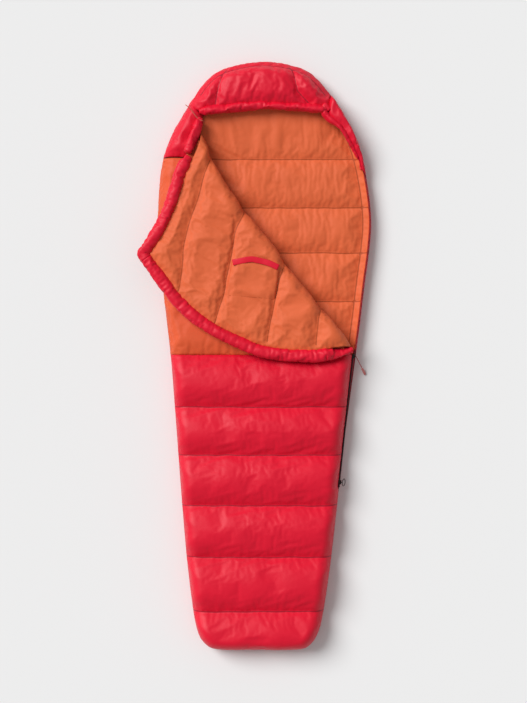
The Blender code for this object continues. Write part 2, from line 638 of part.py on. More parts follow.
def upper_pull(f):
    pivot = lug_tip(ZIP_TOP + ZIP_DOWN * UPPER_SLIDER_AT, PULL_CORD_RADIUS)
    along = pull_direction()
    points = [pivot, pivot + along * PULL_CORD_LENGTH]
    tube("upper_pull_cord", points, PULL_CORD_RADIUS, f["cord"])
    grip_size = (GRIP_LENGTH, GRIP_WIDTH, GRIP_THICKNESS)
    grip = block("upper_pull_grip", grip_size, (0, 0, 0), Vector((1, 0)), f["grip"])
    grip.rotation_mode = "QUATERNION"
    grip.rotation_quaternion = along.to_track_quat("X", "Z")
    grip.location = pivot + along * (PULL_CORD_LENGTH + GAP + GRIP_LENGTH / 2)
    edge = grip.modifiers.new("rounding", "BEVEL")
    edge.width = GRIP_ROUNDING
    edge.segments = 2


def lower_pull(f):
    pivot = lug_tip(ZIP_LOW - ZIP_DOWN * LOWER_SLIDER_AT, LOOP_RADIUS)
    drop = math.radians(LOOP_DROP)
    outwards = up_to(ZIP_OUT * math.cos(drop), -math.sin(drop))
    along = up_to(ZIP_DOWN, 0)
    centre = pivot + outwards * LOOP_LENGTH / 2
    points = []
    for i in range(16):
        turn = 2 * math.pi * i / 16
        points.append(centre + outwards * (math.cos(turn) * LOOP_LENGTH / 2)
                      + along * (math.sin(turn) * LOOP_WIDTH / 2))
    tube("lower_pull_loop", points, LOOP_RADIUS, f["loop"], closed=True)


# ---- hood drawcord and its lock ---------------------------------------------------------
def drawcord(f):
    route = [Vector((x * SCALE.x, y * SCALE.y, FRONT_TOP + z)) for x, y, z in DRAWCORD_ROUTE]
    tube("hood_drawcord", route, DRAWCORD_RADIUS, f["drawcord"])


def cord_lock(f):
    """A sprung cord lock lying on the lining, its button towards the head."""
    plan = graded([LOCK_PLACE])[0]
    place = Vector((plan.x, plan.y, BACK_TOP + GAP + LOCK_RADIUS))
    inner = LOCK_RADIUS - LOCK_WALL
    barrel = turned("cord_lock_barrel", [
        (0, LOCK_BASE), (inner, LOCK_BASE), (inner, LOCK_LENGTH), (LOCK_RADIUS, LOCK_LENGTH), (LOCK_RADIUS, 0),
        (0, 0)], f["plastic"])
    button_low = LOCK_LENGTH + PLUNGER_OUT - PLUNGER_LENGTH
    button_radius = inner - PLUNGER_CLEARANCE
    button = turned("cord_lock_button", [
        (0, button_low + PLUNGER_LENGTH), (button_radius, button_low + PLUNGER_LENGTH),
        (button_radius, button_low), (0, button_low)], f["plastic"])
    hole_height = (button_low + LOCK_LENGTH) / 2
    for piece in (barrel, button):
        set_in_place(piece, place)
        cut(piece, cord_hole(piece.name + "_hole", place, hole_height))
    spring_low = LOCK_BASE + GAP + SPRING_WIRE
    spring_high = button_low - GAP - SPRING_WIRE
    points = []
    for i in range(SPRING_TURNS * SPRING_STEPS + 1):
        turn = 2 * math.pi * i / SPRING_STEPS
        share = i / (SPRING_TURNS * SPRING_STEPS)
        points.append(Vector((SPRING_RADIUS * math.cos(turn), SPRING_RADIUS * math.sin(turn),
                              spring_low + (spring_high - spring_low) * share)))
    set_in_place(tube("cord_lock_spring", points, SPRING_WIRE, f["steel"]), place)


def set_in_place(obj, place):
    """Lay a piece turned about Z along Y, its base at the place."""
    obj.rotation_euler = (-math.pi / 2, 0, 0)
    obj.location = place


def cord_hole(name, place, height):
    bpy.ops.mesh.primitive_cylinder_add(vertices=16, radius=CORD_HOLE_RADIUS, depth=LOCK_RADIUS * 4)
    cutter = bpy.context.object
    cutter.name = name
    for owner in list(cutter.users_collection):
        owner.objects.unlink(cutter)
    bpy.data.collections[CUTTERS].objects.link(cutter)
    cutter.rotation_euler = (0, math.pi / 2, 0)
    cutter.location = place + Vector((0, height, 0))
    return cutter


def build():
    fresh_scene()
    f = finishes()
    back_panel(f)
    side_baffles(f)
    front_panel(f)
    hood(f)
    flap(f)
    zip_tracks(f)
    slider("upper_slider", ZIP_TOP + ZIP_DOWN * UPPER_SLIDER_AT, f)
    upper_pull(f)
    slider("lower_slider", ZIP_LOW - ZIP_DOWN * LOWER_SLIDER_AT, f)
    lower_pull(f)
    drawcord(f)
    cord_lock(f)


build()
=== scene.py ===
import json
import math

import bmesh
import bpy
import numpy as np
from mathutils import Euler, Matrix, Vector, kdtree, noise
from mathutils.bvhtree import BVHTree
from mathutils.geometry import delaunay_2d_cdt


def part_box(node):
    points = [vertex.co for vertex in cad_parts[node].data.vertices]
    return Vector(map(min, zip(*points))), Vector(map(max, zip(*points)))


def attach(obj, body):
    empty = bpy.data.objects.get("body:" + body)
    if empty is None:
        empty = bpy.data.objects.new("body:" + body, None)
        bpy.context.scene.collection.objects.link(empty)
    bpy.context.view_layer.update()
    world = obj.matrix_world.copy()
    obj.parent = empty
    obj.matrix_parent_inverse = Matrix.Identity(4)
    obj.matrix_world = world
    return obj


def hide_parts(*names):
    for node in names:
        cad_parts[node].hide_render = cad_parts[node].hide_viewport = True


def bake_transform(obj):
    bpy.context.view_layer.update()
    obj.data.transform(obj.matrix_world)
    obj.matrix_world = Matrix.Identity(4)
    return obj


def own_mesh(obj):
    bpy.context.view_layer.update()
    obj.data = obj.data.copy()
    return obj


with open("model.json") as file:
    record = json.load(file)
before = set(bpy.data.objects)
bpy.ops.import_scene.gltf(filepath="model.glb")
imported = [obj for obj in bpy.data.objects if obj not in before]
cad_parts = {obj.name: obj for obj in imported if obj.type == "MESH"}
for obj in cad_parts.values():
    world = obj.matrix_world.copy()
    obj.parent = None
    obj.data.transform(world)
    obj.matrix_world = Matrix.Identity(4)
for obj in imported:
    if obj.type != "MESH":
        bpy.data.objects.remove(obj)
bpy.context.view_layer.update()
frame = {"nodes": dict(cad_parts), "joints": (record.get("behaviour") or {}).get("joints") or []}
scene = bpy.context.scene
joints = {joint["name"]: joint for joint in frame["joints"]}
bpy.ops.object.select_all(action="DESELECT")

# studio: a pale floor under soft light from the upper left, seen from straight above

studio = {"cameraHeight": 6.055, "aim": (0.005, 0.016), "lens": 85, "sunEnergy": 2.95, "sunAngle": 34,
          "sunFrom": (-0.86, 0.58, 1.0), "fill": 0.36, "floorSize": 12}


def makeStudio():
    lens = bpy.data.cameras.new("camera")
    lens.lens = studio["lens"]
    camera = bpy.data.objects.new("camera", lens)
    camera.location = (*studio["aim"], studio["cameraHeight"])
    scene.collection.objects.link(camera)
    scene.camera = camera
    sun = bpy.data.lights.new("softSun", "SUN")
    sun.energy = studio["sunEnergy"]
    sun.angle = math.radians(studio["sunAngle"])
    lamp = bpy.data.objects.new("softSun", sun)
    lamp.rotation_euler = Vector(studio["sunFrom"]).to_track_quat("Z", "Y").to_euler()
    scene.collection.objects.link(lamp)
    world = bpy.data.worlds.new("studioAir")
    world.use_nodes = True
    world.node_tree.nodes["Background"].inputs["Color"].default_value = (1, 1, 1, 1)
    world.node_tree.nodes["Background"].inputs["Strength"].default_value = studio["fill"]
    scene.world = world
    scene.view_settings.view_transform = "Standard"
    bpy.ops.mesh.primitive_plane_add(size=studio["floorSize"])
    floor = bpy.context.object
    floor.name = "floor"
    floor.select_set(False)
    return floor


# materials

def linear(hexColour):
    parts = [int(hexColour[i:i + 2], 16) / 255 for i in (0, 2, 4)]
    return (*[c / 12.92 if c <= 0.04045 else ((c + 0.055) / 1.055) ** 2.4 for c in parts], 1)


def addNode(tree, kind, settings=None, links=None):
    node = tree.nodes.new(kind)
    for name, value in (settings or {}).items():
        if isinstance(name, int) or name in node.inputs:
            node.inputs[name].default_value = value
        else:
            setattr(node, name, value)
    for name, source in (links or {}).items():
        tree.links.new(source, node.inputs[name])
    return node


def newMaterial(name):
    made = bpy.data.materials.new(name)
    made.use_nodes = True
    return made, made.node_tree, made.node_tree.nodes["Principled BSDF"]


def dress(obj, made):
    obj.data.materials.clear()
    obj.data.materials.append(made)


# lines on the plan

def evenly(line, spacing):
    step = np.linalg.norm(np.diff(line, axis=0), axis=1)
    along = np.concatenate([[0], np.cumsum(step)])
    count = max(2, int(round(along[-1] / spacing)) + 1)
    at = np.linspace(0, along[-1], count)
    return np.column_stack([np.interp(at, along, line[:, k]) for k in range(line.shape[1])])


def curveThrough(points, spacing, closed=False):
    p = np.array(points, float)
    if closed:
        p = np.vstack([p[-1:], p, p[:2]])
    else:
        p = np.vstack([2 * p[0] - p[1], p, 2 * p[-1] - p[-2]])
    t = np.linspace(0, 1, 12, endpoint=False)[:, None]
    rows = []
    for i in range(len(p) - 3):
        a, b, c, d = p[i:i + 4]
        rows.append(0.5 * (2 * b + (c - a) * t + (2 * a - 5 * b + 4 * c - d) * t * t
                           + (3 * b - a - 3 * c + d) * t ** 3))
    line = evenly(np.vstack(rows + [p[-2][None]]), spacing)
    return line[:-1] if closed else line


def leftNormals(line, closed=False):
    if closed:
        run = np.roll(line, -1, axis=0) - np.roll(line, 1, axis=0)
    else:
        run = np.gradient(line, axis=0)
    run = run / np.linalg.norm(run, axis=1)[:, None]
    return np.column_stack([-run[:, 1], run[:, 0]])


def nodeLoop(name):      # a flat CAD sheet's outline, anticlockwise
    corners = np.unique(np.round([v.co[:2] for v in frame["nodes"][name].data.vertices], 5), axis=0)
    away = corners - corners.mean(0)
    return corners[np.argsort(np.arctan2(away[:, 1], away[:, 0]))]


def inside(points, loop):
    x, y = points[:, 0], points[:, 1]
    hit = np.zeros(len(points), bool)
    for (ax, ay), (bx, by) in zip(loop, np.roll(loop, -1, axis=0)):
        if ay != by:
            hit ^= ((ay > y) != (by > y)) & (x < (bx - ax) * (y - ay) / (by - ay) + ax)
    return hit


def treeOf(points):
    tree = kdtree.KDTree(len(points))
    for i, p in enumerate(points):
        tree.insert((p[0], p[1], 0), i)
    tree.balance()
    return tree


def nearest(tree, points):
    found = [tree.find((p[0], p[1], 0)) for p in points]
    return np.array([f[1] for f in found], int), np.array([f[2] for f in found])


def wavy(x, y, size, seed):
    return np.array([noise.noise((a / size, b / size, seed)) for a, b in zip(x, y)])


def smooth01(x):
    x = np.clip(x, 0, 1)
    return x * x * (3 - 2 * x)


# the bag's outline and seams, read from the frame

outlineStep = 0.004
bagLoop = curveThrough(nodeLoop("back_shell"), outlineStep, closed=True)
fromCrown = np.roll(bagLoop, -int(np.argmax(bagLoop[:, 1])), axis=0)     # down the left side, up the right
footAt = int(np.argmin(fromCrown[:, 1]))
leftSide = fromCrown[:footAt + 1]
rightSide = fromCrown[footAt:]
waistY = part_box("front_left_shell")[0].y
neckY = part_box("neck_left_panel")[0].y
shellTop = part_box("front_lower_shell")[1].z
hinge = Vector(joints["flap_fold"]["pos_m"])
foldAlong = -Vector(joints["flap_fold"]["axis"]).to_2d()
foldRight = Vector((-foldAlong.y, foldAlong.x))


def seamsBetween(prefix, count):
    tops = [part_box(f"{prefix}_{i:02d}") for i in range(1, count + 1)]
    return [(low[1].y + high[0].y) / 2 for low, high in zip(tops, tops[1:])]


backSeams = seamsBetween("back_fill", 10) + [neckY]
frontSeams = seamsBetween("front_fill", 6)


def edgeX(y, side):
    line = leftSide[::-1] if side < 0 else rightSide
    return np.interp(y, line[:, 1], line[:, 0])


def outlineRun(sideFrom, yFrom, sideTo, yTo):
    if sideFrom == sideTo == -1:
        middle = [p for p in leftSide if yTo < p[1] < yFrom]
    elif sideFrom == sideTo == 1:
        middle = [p for p in rightSide if yFrom < p[1] < yTo]
    elif sideFrom == -1:                                   # round the foot
        middle = [p for p in leftSide if p[1] < yFrom] + [p for p in rightSide[1:] if p[1] < yTo]
    else:                                                  # over the crown
        middle = [p for p in rightSide if p[1] > yFrom] + [p for p in leftSide if p[1] > yTo]
    start = [edgeX(yFrom, sideFrom), yFrom]
    end = [edgeX(yTo, sideTo), yTo]
    return evenly(np.array([start] + middle + [end]), outlineStep)


def offOutline(name, clearance):      # the corners of a CAD sheet that do not lie on the bag's outline
    corners = nodeLoop(name)
    away = np.array([np.min(np.hypot(*(bagLoop - p).T)) for p in corners])
    return corners[away > clearance]

def onFold(along, across):   # metres down the fold from its top, metres to the left of it
    return Vector(hinge.to_2d()) + foldAlong * along - foldRight * across


def acrossFold(points):
    away = points - np.array(hinge.to_2d())
    return away @ np.array(foldAlong), -(away @ np.array(foldRight))


def crossSeam(y, seed, wobble=0.0022):
    x = np.arange(-0.5, 0.5, 0.006)
    return np.column_stack([x, y + wobble * wavy(x, x * 0 + y, 0.05, seed)])

# quilted cloth: cut flat, sewn down along its seams, blown up over the filling

# a look says how a cloth lies, in metres. level: height of its seams. rise and reach: how far it swells and
# how far from a seam the swell is full. wrap and lift: how wide and how high its rim turns over.
# edgeHeight and edgeAngle: where the rim starts. slack and pressure: what puckers it. cap: the most it moves


def valueAt(given, *where):      # a look's value is a number or a function of the place
    return given(*where) if callable(given) else np.full(len(where[0]), given)


def sewnRuns(loop, seams, spacing):      # the stretches of the seams that lie inside the cut
    walls = treeOf(loop)
    sewn = []
    for seam in seams:
        line = evenly(np.array(seam), spacing)
        away = nearest(walls, line)[1]
        good = inside(line, loop) & (away > spacing * 0.6)
        runs = np.split(np.arange(len(line)), np.where(np.diff(good.astype(int)) != 0)[0] + 1)
        sewn += [line[r] for r in runs if good[r[0]] and len(r) > 1]
    return sewn


def scattered(loop, fixed, look):      # points strewn inside the cut, fewer of them where nobody sees it
    spacing = look["spacing"]
    low, high = loop.min(0), loop.max(0)
    grid = []
    for i, y in enumerate(np.arange(low[1], high[1], spacing * 0.866)):
        xs = np.arange(low[0] + (i % 2) * spacing / 2, high[0], spacing)
        grid.append(np.column_stack([xs, np.full(len(xs), y)]))
    grid = np.vstack(grid)
    generator = np.random.default_rng(look["seed"])
    grid += generator.uniform(-0.14, 0.14, grid.shape) * spacing
    grid = grid[inside(grid, loop)]
    grid = grid[nearest(treeOf(fixed), grid)[1] > spacing * 0.6]
    if "coarse" in look:
        kept = generator.uniform(size=len(grid)) < 0.30
        grid = grid[~look["coarse"](grid) | kept]
    return grid


def turnedOver(flat, height, edge, look):      # the rim of the cut bends down and under along an ellipse
    rim, grown, inward, arc = edge
    facing = look.get("facing", 1)
    which, _ = nearest(treeOf(grown), flat)
    n = inward[which]
    t = np.column_stack([n[:, 1], -n[:, 0]])
    away = flat - grown[which]
    sunk = np.abs((away * n).sum(1))
    slide = (away * t).sum(1)
    near = sunk < arc
    base = rim[which] + t * slide[:, None]
    lowest = np.radians(valueAt(look.get("edgeAngle", 0.0), rim))[which]
    sweep = lowest + (math.pi / 2 - lowest) * np.clip(sunk / arc, 0, 1)
    bottom = valueAt(look["edgeHeight"], base[:, 0], base[:, 1])
    inset = look["wrap"] * (1 - np.cos(sweep))
    side = np.cos(sweep)[:, None] * (-n if look.get("bulge", "out") == "out" else n)
    lean = np.column_stack([side, facing * np.sin(sweep)])
    plan = np.where(near[:, None], base + n * inset[:, None], flat)
    normal = np.where(near[:, None], lean, [0, 0, facing])
    wall = bottom + (height - bottom) * np.sin(sweep)
    atRim = np.where(near, 1 - smooth01(sunk / arc), 0)
    return plan, np.where(near, wall, height), normal, atRim


def heldLevel(co, look):      # above the floor and below what lies on top
    co[:, 2] = np.clip(co[:, 2], look.get("ground", -1), look.get("ceiling", 1))
    return co


def panel(name, rim, cut, seams, look):
    spacing = look["spacing"]
    closed = cut is None
    boundary = []
    if rim is not None:
        wrap = look["wrap"]
        rim = evenly(np.vstack([rim, rim[:1]]), spacing)[:-1] if closed else evenly(rim, spacing)
        inward = leftNormals(rim, closed)
        turn = np.linspace(look.get("meanAngle", 0.0), math.pi / 2, 60)
        arc = float(np.trapz(np.hypot(wrap * np.sin(turn), look["lift"] * np.cos(turn)), turn))
        grown = rim - inward * (arc - wrap)
        boundary.append(grown)
    if not closed:
        cut = np.array(cut, float)
        if rim is not None:
            cut = np.vstack([grown[-1:], cut, grown[:1]])
        boundary.append(evenly(cut, spacing))
    loop = np.vstack(boundary)
    loop = loop[np.linalg.norm(loop - np.roll(loop, 1, axis=0), axis=1) > spacing * 0.35]
    sewn = sewnRuns(loop, seams, spacing)
    fixed = np.vstack([loop] + sewn)
    points = np.vstack([fixed, scattered(loop, fixed, look)])
    start = len(loop)
    edges = [(i, (i + 1) % start) for i in range(start)]
    for line in sewn:
        edges += [(start + i, start + i + 1) for i in range(len(line) - 1)]
        start += len(line)
    flat, _, faces, origin, _, _ = delaunay_2d_cdt([Vector(p) for p in points], edges, [], 1, 1e-6)
    flat = np.array([v[:] for v in flat])
    pinned = np.array([not o or min(o) < len(fixed) for o in origin])
    seamPoints = [evenly(line, 0.002) for line in sewn + [np.vstack([loop, loop[:1]])]]
    toSeam = nearest(treeOf(np.vstack(seamPoints)), flat)[1]
    swell = look["rise"] * (1 - (1 - np.clip(toSeam / look["reach"], 0, 1)) ** 2)
    swell *= 1 + look.get("uneven", 0.25) * wavy(flat[:, 0], flat[:, 1], 0.09, look["seed"])
    if "crease" in look:
        swell += look["crease"](flat[:, 0], flat[:, 1], toSeam) * np.clip(toSeam / 0.008, 0, 1)
    height = valueAt(look["level"], flat[:, 0], flat[:, 1])
    if rim is None:
        plan = flat
        normal = np.array([[0, 0, look["facing"]]])
    else:
        plan, height, normal, atRim = turnedOver(flat, height, (rim, grown, inward, arc), look)
        swell += (look.get("rimSwell", 0.001) - swell) * atRim
    co = heldLevel(np.column_stack([plan, height]) + normal * swell[:, None], look)
    if look.get("facing", 1) < 0:
        faces = [f[::-1] for f in faces]
    obj = clothObject(name, co, faces, flat, toSeam)
    relax(obj, co, pinned, look)
    return obj


# fine puckers that die away from the seams, and long soft folds at a slant between them

def creases(x, y, toSeam, seed, pucker=0.0016, drape=0.0022, slant=25.0, drapeSize=(0.11, 0.022)):
    turn = math.radians(slant)
    along = x * math.cos(turn) + y * math.sin(turn)
    across = -x * math.sin(turn) + y * math.cos(turn)
    short = wavy(x, y * 0.30, 0.0135, seed) + 0.5 * wavy(x, y * 0.45, 0.0075, seed + 1)
    long = wavy(along / drapeSize[0] * 0.1, across / drapeSize[1] * 0.1, 0.1, seed + 2)
    nearSeam = np.exp(-toSeam / 0.024)
    return pucker * short * nearSeam + drape * long * (1 - 0.6 * nearSeam)


def clothObject(name, co, faces, flat, toSeam):
    mesh = bpy.data.meshes.new(name)
    mesh.from_pydata([tuple(c) for c in co], [], [tuple(f) for f in faces])
    mesh.update()
    loops = np.zeros(len(mesh.loops), int)
    mesh.loops.foreach_get("vertex_index", loops)
    layer = mesh.uv_layers.new(name="pattern")
    layer.data.foreach_set("uv", np.array(flat, np.float32)[loops].ravel())
    seamAttribute = mesh.attributes.new("seamDistance", "FLOAT", "POINT")
    seamAttribute.data.foreach_set("value", np.array(toSeam, np.float32))
    obj = bpy.data.objects.new(name, mesh)
    scene.collection.objects.link(obj)
    return obj

# the cloth is cut a little larger than the place it is sewn into, so it puckers along its seams
clothSettings = {"quality": 5, "mass": 0.01, "tension_stiffness": 20, "compression_stiffness": 20,
                 "shear_stiffness": 8, "bending_stiffness": 0.05, "vertex_group_mass": "stitches",
                 "pin_stiffness": 1, "use_pressure": True}
clothSteps = 12


def relax(obj, co, pinned, look):
    obj.data.shade_smooth()
    if "pressure" not in look:
        return
    group = obj.vertex_groups.new(name="stitches")
    group.add([int(i) for i in np.where(pinned)[0]], 1.0, "REPLACE")
    cloth = obj.modifiers.new("puff", "CLOTH")
    for name, value in clothSettings.items():
        setattr(cloth.settings, name, value)
    cloth.settings.shrink_min = -look["slack"]
    cloth.settings.uniform_pressure_force = look["pressure"]
    cloth.settings.effector_weights.gravity = 0
    cloth.collision_settings.use_collision = False
    for step in range(1, clothSteps + 1):
        scene.frame_set(step)
    seen = obj.evaluated_get(bpy.context.evaluated_depsgraph_get())
    moved = np.zeros(len(co) * 3, np.float32)
    seen.data.vertices.foreach_get("co", moved)
    scene.frame_set(1)
    obj.modifiers.remove(cloth)
    obj.vertex_groups.clear()
    change = moved.reshape(-1, 3).astype(float) - co
    size = np.linalg.norm(change, axis=1)
    change *= (look["cap"] * np.tanh(size / look["cap"]) / np.maximum(size, 1e-9))[:, None]
    final = heldLevel(co + change, look)
    obj.data.vertices.foreach_set("co", final.astype(np.float32).ravel())
    obj.data.update()
    obj.data.shade_smooth()


def giveThickness(obj, thickness=0.0009):
    solid = obj.modifiers.new("cloth", "SOLIDIFY")
    solid.thickness = thickness
    solid.offset = -1
    bpy.context.view_layer.objects.active = obj
    bpy.ops.object.modifier_apply(modifier="cloth")


def placePadded(obj, made, slot, replaced=(), fill=0.65, body="bag", blend=None):
    dress(obj, made)
    if replaced:
        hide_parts(*replaced)
    if blend:
        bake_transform(obj)
    else:
        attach(obj, body)
    print("made", obj.name, len(obj.data.polygons))


def placeCloth(obj, made, slot, replaced, **more):
    giveThickness(obj)
    placePadded(obj, made, slot, replaced, **more)


def placeHard(obj, made, slot, body, *nodes):
    dress(obj, made)
    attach(obj, body)
    if nodes:
        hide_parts(*nodes)
    print("made", obj.name)


def wire(name, points, radius, closed=False):
    curve = bpy.data.curves.new(name, "CURVE")
    curve.dimensions = "3D"
    curve.bevel_depth = radius
    curve.bevel_resolution = 4
    curve.use_fill_caps = True
    spline = curve.splines.new("POLY")
    spline.points.add(len(points) - 1)
    spline.use_cyclic_u = closed
    for point, place in zip(spline.points, points):
        point.co = (*place, 1)
    obj = bpy.data.objects.new(name, curve)
    scene.collection.objects.link(obj)
    return obj


# a stuffed roll along a line, gathered along its length and sewn down underneath
def tubeAlong(name, line, heights, halfWide, halfHigh, look):
    ring = look.get("ring", 28)
    count = len(line)
    centre = np.column_stack([line, np.broadcast_to(heights, count)])
    run = np.gradient(centre, axis=0)
    run /= np.linalg.norm(run, axis=1)[:, None]
    side = np.column_stack([-run[:, 1], run[:, 0], np.zeros(count)])
    side /= np.linalg.norm(side, axis=1)[:, None]
    up = np.cross(side, run) * -1
    up *= np.sign(up[:, 2])[:, None]
    wide = np.broadcast_to(halfWide, count)
    high = np.broadcast_to(halfHigh, count)
    turn = np.arange(ring) / ring * 2 * math.pi
    power = look.get("square", 1.0)
    across = np.sign(np.cos(turn)) * np.abs(np.cos(turn)) ** power
    rise = np.sign(np.sin(turn)) * np.abs(np.sin(turn)) ** power
    normal = side[:, None] * across[None, :, None] + up[:, None] * rise[None, :, None]
    co = centre[:, None] + side[:, None] * (across * wide[:, None])[:, :, None]
    co = co + up[:, None] * (rise * high[:, None])[:, :, None]
    along = np.concatenate([[0], np.cumsum(np.linalg.norm(np.diff(centre, axis=0), axis=1))])
    girth = np.mean(wide + high) * math.pi
    faces = []
    for i in range(count - 1):
        for j in range(ring):
            k = (j + 1) % ring
            faces.append((i * ring + j, (i + 1) * ring + j, (i + 1) * ring + k, i * ring + k))
    faces.append(tuple(range(ring)))
    faces.append(tuple(range((count - 1) * ring, count * ring))[::-1])
    flat = np.column_stack([np.repeat(along, ring), np.tile(turn / (2 * math.pi) * girth, count)])
    normal = normal.reshape(-1, 3)
    normal /= np.linalg.norm(normal, axis=1)[:, None]
    fold = wavy(flat[:, 0], flat[:, 1] * 0.25, look.get("gatherSize", 0.013), look["seed"])
    co = co.reshape(-1, 3) + normal * (look["gather"] * fold)[:, None]
    # the distance round the ring stands for the distance to a seam, so the cloth's material paints a thin line
    # of shade along one side of the roll where the ring starts
    obj = clothObject(name, co, faces, flat, flat[:, 1])
    shape = bmesh.new()
    shape.from_mesh(obj.data)
    bmesh.ops.recalc_face_normals(shape, faces=shape.faces)
    shape.to_mesh(obj.data)
    shape.free()
    rows = np.repeat(np.arange(count), ring)
    columns = np.tile(np.arange(ring), count)
    relax(obj, co, (rows == 0) | (rows == count - 1) | (columns == ring * 3 // 4), look)
    return obj


# cloths: thin ripstop nylon outside, whose threads give a faint grid and whose sheen gives broad soft
# highlights over saturated red or orange, and plain taffeta inside, matt and a little paler

# each cloth's second, darker tone is painted shade, laid beside every seam where shade falls in the seam's
# groove
fabricLooks = {
    "redRipstop": {"base": "E2042D", "paintedSeamShade": "A00020", "roughness": 0.5, "specular": 0.34},
    "orangeRipstop": {"base": "E05A30", "paintedSeamShade": "9A3816", "roughness": 0.55, "specular": 0.3},
    "orangeTaffeta": {"base": "E2683C", "paintedSeamShade": "A8461E", "roughness": 0.6, "specular": 0.25},
}
threadGrid = 0.005       # spacing of the thicker threads, a guess
seamShade = (0.0006, 0.00352)      # beside a seam the cloth is darker, from full to nothing


def fabric(name):
    look = fabricLooks[name]
    base = linear(look["base"])
    made, tree, shader = newMaterial(name)
    where = addNode(tree, "ShaderNodeUVMap", {"uv_map": "pattern"}).outputs["UV"]
    cloud = addNode(tree, "ShaderNodeTexNoise", {"Scale": 9.0, "Detail": 3.0}, {"Vector": where})
    tint = addNode(tree, "ShaderNodeMix", {"data_type": "RGBA"}, {0: cloud.outputs["Fac"]})
    tint.inputs[6].default_value = base
    tint.inputs[7].default_value = (*[c * 0.86 for c in base[:3]], 1)
    # painted shade: within a few millimetres of a seam the colour is mixed towards a darker tone, shade painted
    # into the seam's groove
    seam = addNode(tree, "ShaderNodeAttribute", {"attribute_name": "seamDistance"}).outputs["Fac"]
    band = addNode(tree, "ShaderNodeMapRange",
                   {"From Min": seamShade[0], "From Max": seamShade[1], "To Min": 1.0, "To Max": 0.0,
                    "interpolation_type": "SMOOTHSTEP"}, {"Value": seam})
    sewn = addNode(tree, "ShaderNodeMix", {"data_type": "RGBA"},
                   {0: band.outputs["Result"], 6: tint.outputs[2]})
    sewn.inputs[7].default_value = linear(look["paintedSeamShade"])
    tree.links.new(sewn.outputs[2], shader.inputs["Base Color"])
    weave = addNode(tree, "ShaderNodeTexBrick",
                    {"Scale": 1 / threadGrid, "offset": 0.0, "Mortar Size": 0.06, "Brick Width": 1.0,
                     "Row Height": 1.0}, {"Vector": where})
    crumple = addNode(tree, "ShaderNodeTexNoise", {"Scale": 70.0, "Detail": 4.0, "Roughness": 0.6},
                      {"Vector": where})
    ridge = addNode(tree, "ShaderNodeBump", {"Strength": 0.12, "Distance": 0.0006},
                    {"Height": weave.outputs["Fac"]})
    fine = addNode(tree, "ShaderNodeBump", {"Strength": 0.3, "Distance": 0.0012},
                   {"Height": crumple.outputs["Fac"], "Normal": ridge.outputs["Normal"]})
    tree.links.new(fine.outputs["Normal"], shader.inputs["Normal"])
    shader.inputs["Roughness"].default_value = look["roughness"]
    shader.inputs["Specular IOR Level"].default_value = look["specular"]
    shader.inputs["Sheen Weight"].default_value = 0.03
    shader.inputs["Sheen Roughness"].default_value = 0.4
    return made


# everything that is not cloth: one colour, slightly mottled, over a fine grain
def plainFinish(name, hexColour, roughness, metallic=0.0, grain=400.0, depth=0.0002, shade=0.75):
    made, tree, shader = newMaterial(name)
    where = addNode(tree, "ShaderNodeTexCoord").outputs["Object"]
    speck = addNode(tree, "ShaderNodeTexNoise", {"Scale": grain, "Detail": 2.0}, {"Vector": where})
    tint = addNode(tree, "ShaderNodeMix", {"data_type": "RGBA"}, {0: speck.outputs["Fac"]})
    tint.inputs[6].default_value = linear(hexColour)
    tint.inputs[7].default_value = [c * shade for c in linear(hexColour)[:3]] + [1]
    tree.links.new(tint.outputs[2], shader.inputs["Base Color"])
    bump = addNode(tree, "ShaderNodeBump", {"Strength": 0.3, "Distance": depth},
                   {"Height": speck.outputs["Fac"]})
    tree.links.new(bump.outputs["Normal"], shader.inputs["Normal"])
    shader.inputs["Roughness"].default_value = roughness
    shader.inputs["Metallic"].default_value = metallic
    return made


dress(makeStudio(), plainFinish("paleStudioPaper", "ECECEC", 0.9, grain=900.0, shade=0.99, depth=0.00002))
redCloth = fabric("redRipstop")
orangeCloth = fabric("orangeRipstop")
liningCloth = fabric("orangeTaffeta")
# woven tape, nylon coil and painted metal of the zip: matt dark red, near black with a soft shine, dark with
# the highlights of metal
zipTape = plainFinish("wovenTapeDarkRed", "8E1226", 0.8, grain=700.0)
zipCoil = plainFinish("nylonCoilBlack", "1E1517", 0.45, grain=900.0)
sliderMetal = plainFinish("paintedZincDark", "35302F", 0.38, metallic=0.7, grain=1200.0, depth=0.00003)
# braided cords, whose plaits show as a matt speckle, and the moulded grip, matt and smooth
drawcordBraid = plainFinish("braidedCordDullPink", "C8604E", 0.7, grain=900.0)
pullBraid = plainFinish("braidedCordRed", "B5303A", 0.7, grain=900.0)
loopBraid = plainFinish("braidedCordBrown", "38211D", 0.7, grain=900.0)
gripRubber = plainFinish("mouldedRubberPink", "CF7B78", 0.6, grain=300.0)
# the cord lock: black plastic with a dull shine, and a bright steel spring
lockPlastic = plainFinish("acetalPlasticBlack", "202022", 0.42, grain=500.0)
springSteel = plainFinish("springSteel", "B9BAB8", 0.3, metallic=1.0, grain=1500.0, depth=0.00002)

# hood drawcord: out of its channel at the left, along the hood's edge and in again
drawcord = {"route": [(-0.2745, 0.9030, -0.0160), (-0.2745, 0.9020, -0.0080), (-0.2735, 0.9005, 0.0012),
                      (-0.2650, 0.8935, 0.0030), (-0.2550, 0.8835, 0.0022), (-0.2450, 0.8700, 0.0022),
                      (-0.2350, 0.8570, 0.0022), (-0.2245, 0.8480, 0.0022), (-0.2140, 0.8440, 0.0020),
                      (-0.2095, 0.8430, -0.0060), (-0.2090, 0.8430, -0.0160)], "diameter": 0.0028}


def makeDrawcord():
    route = [(x, y, shellTop + z) for x, y, z in drawcord["route"]]
    line = curveThrough(route, 0.0035)
    obj = wire("hoodDrawcord", line, drawcord["diameter"] / 2)
    dress(obj, drawcordBraid)
    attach(obj, "bag")
    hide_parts("hood_drawcord")


makeDrawcord()
print("studio and drawcord made")
# lower front: red, six baffles, closed all round at the foot

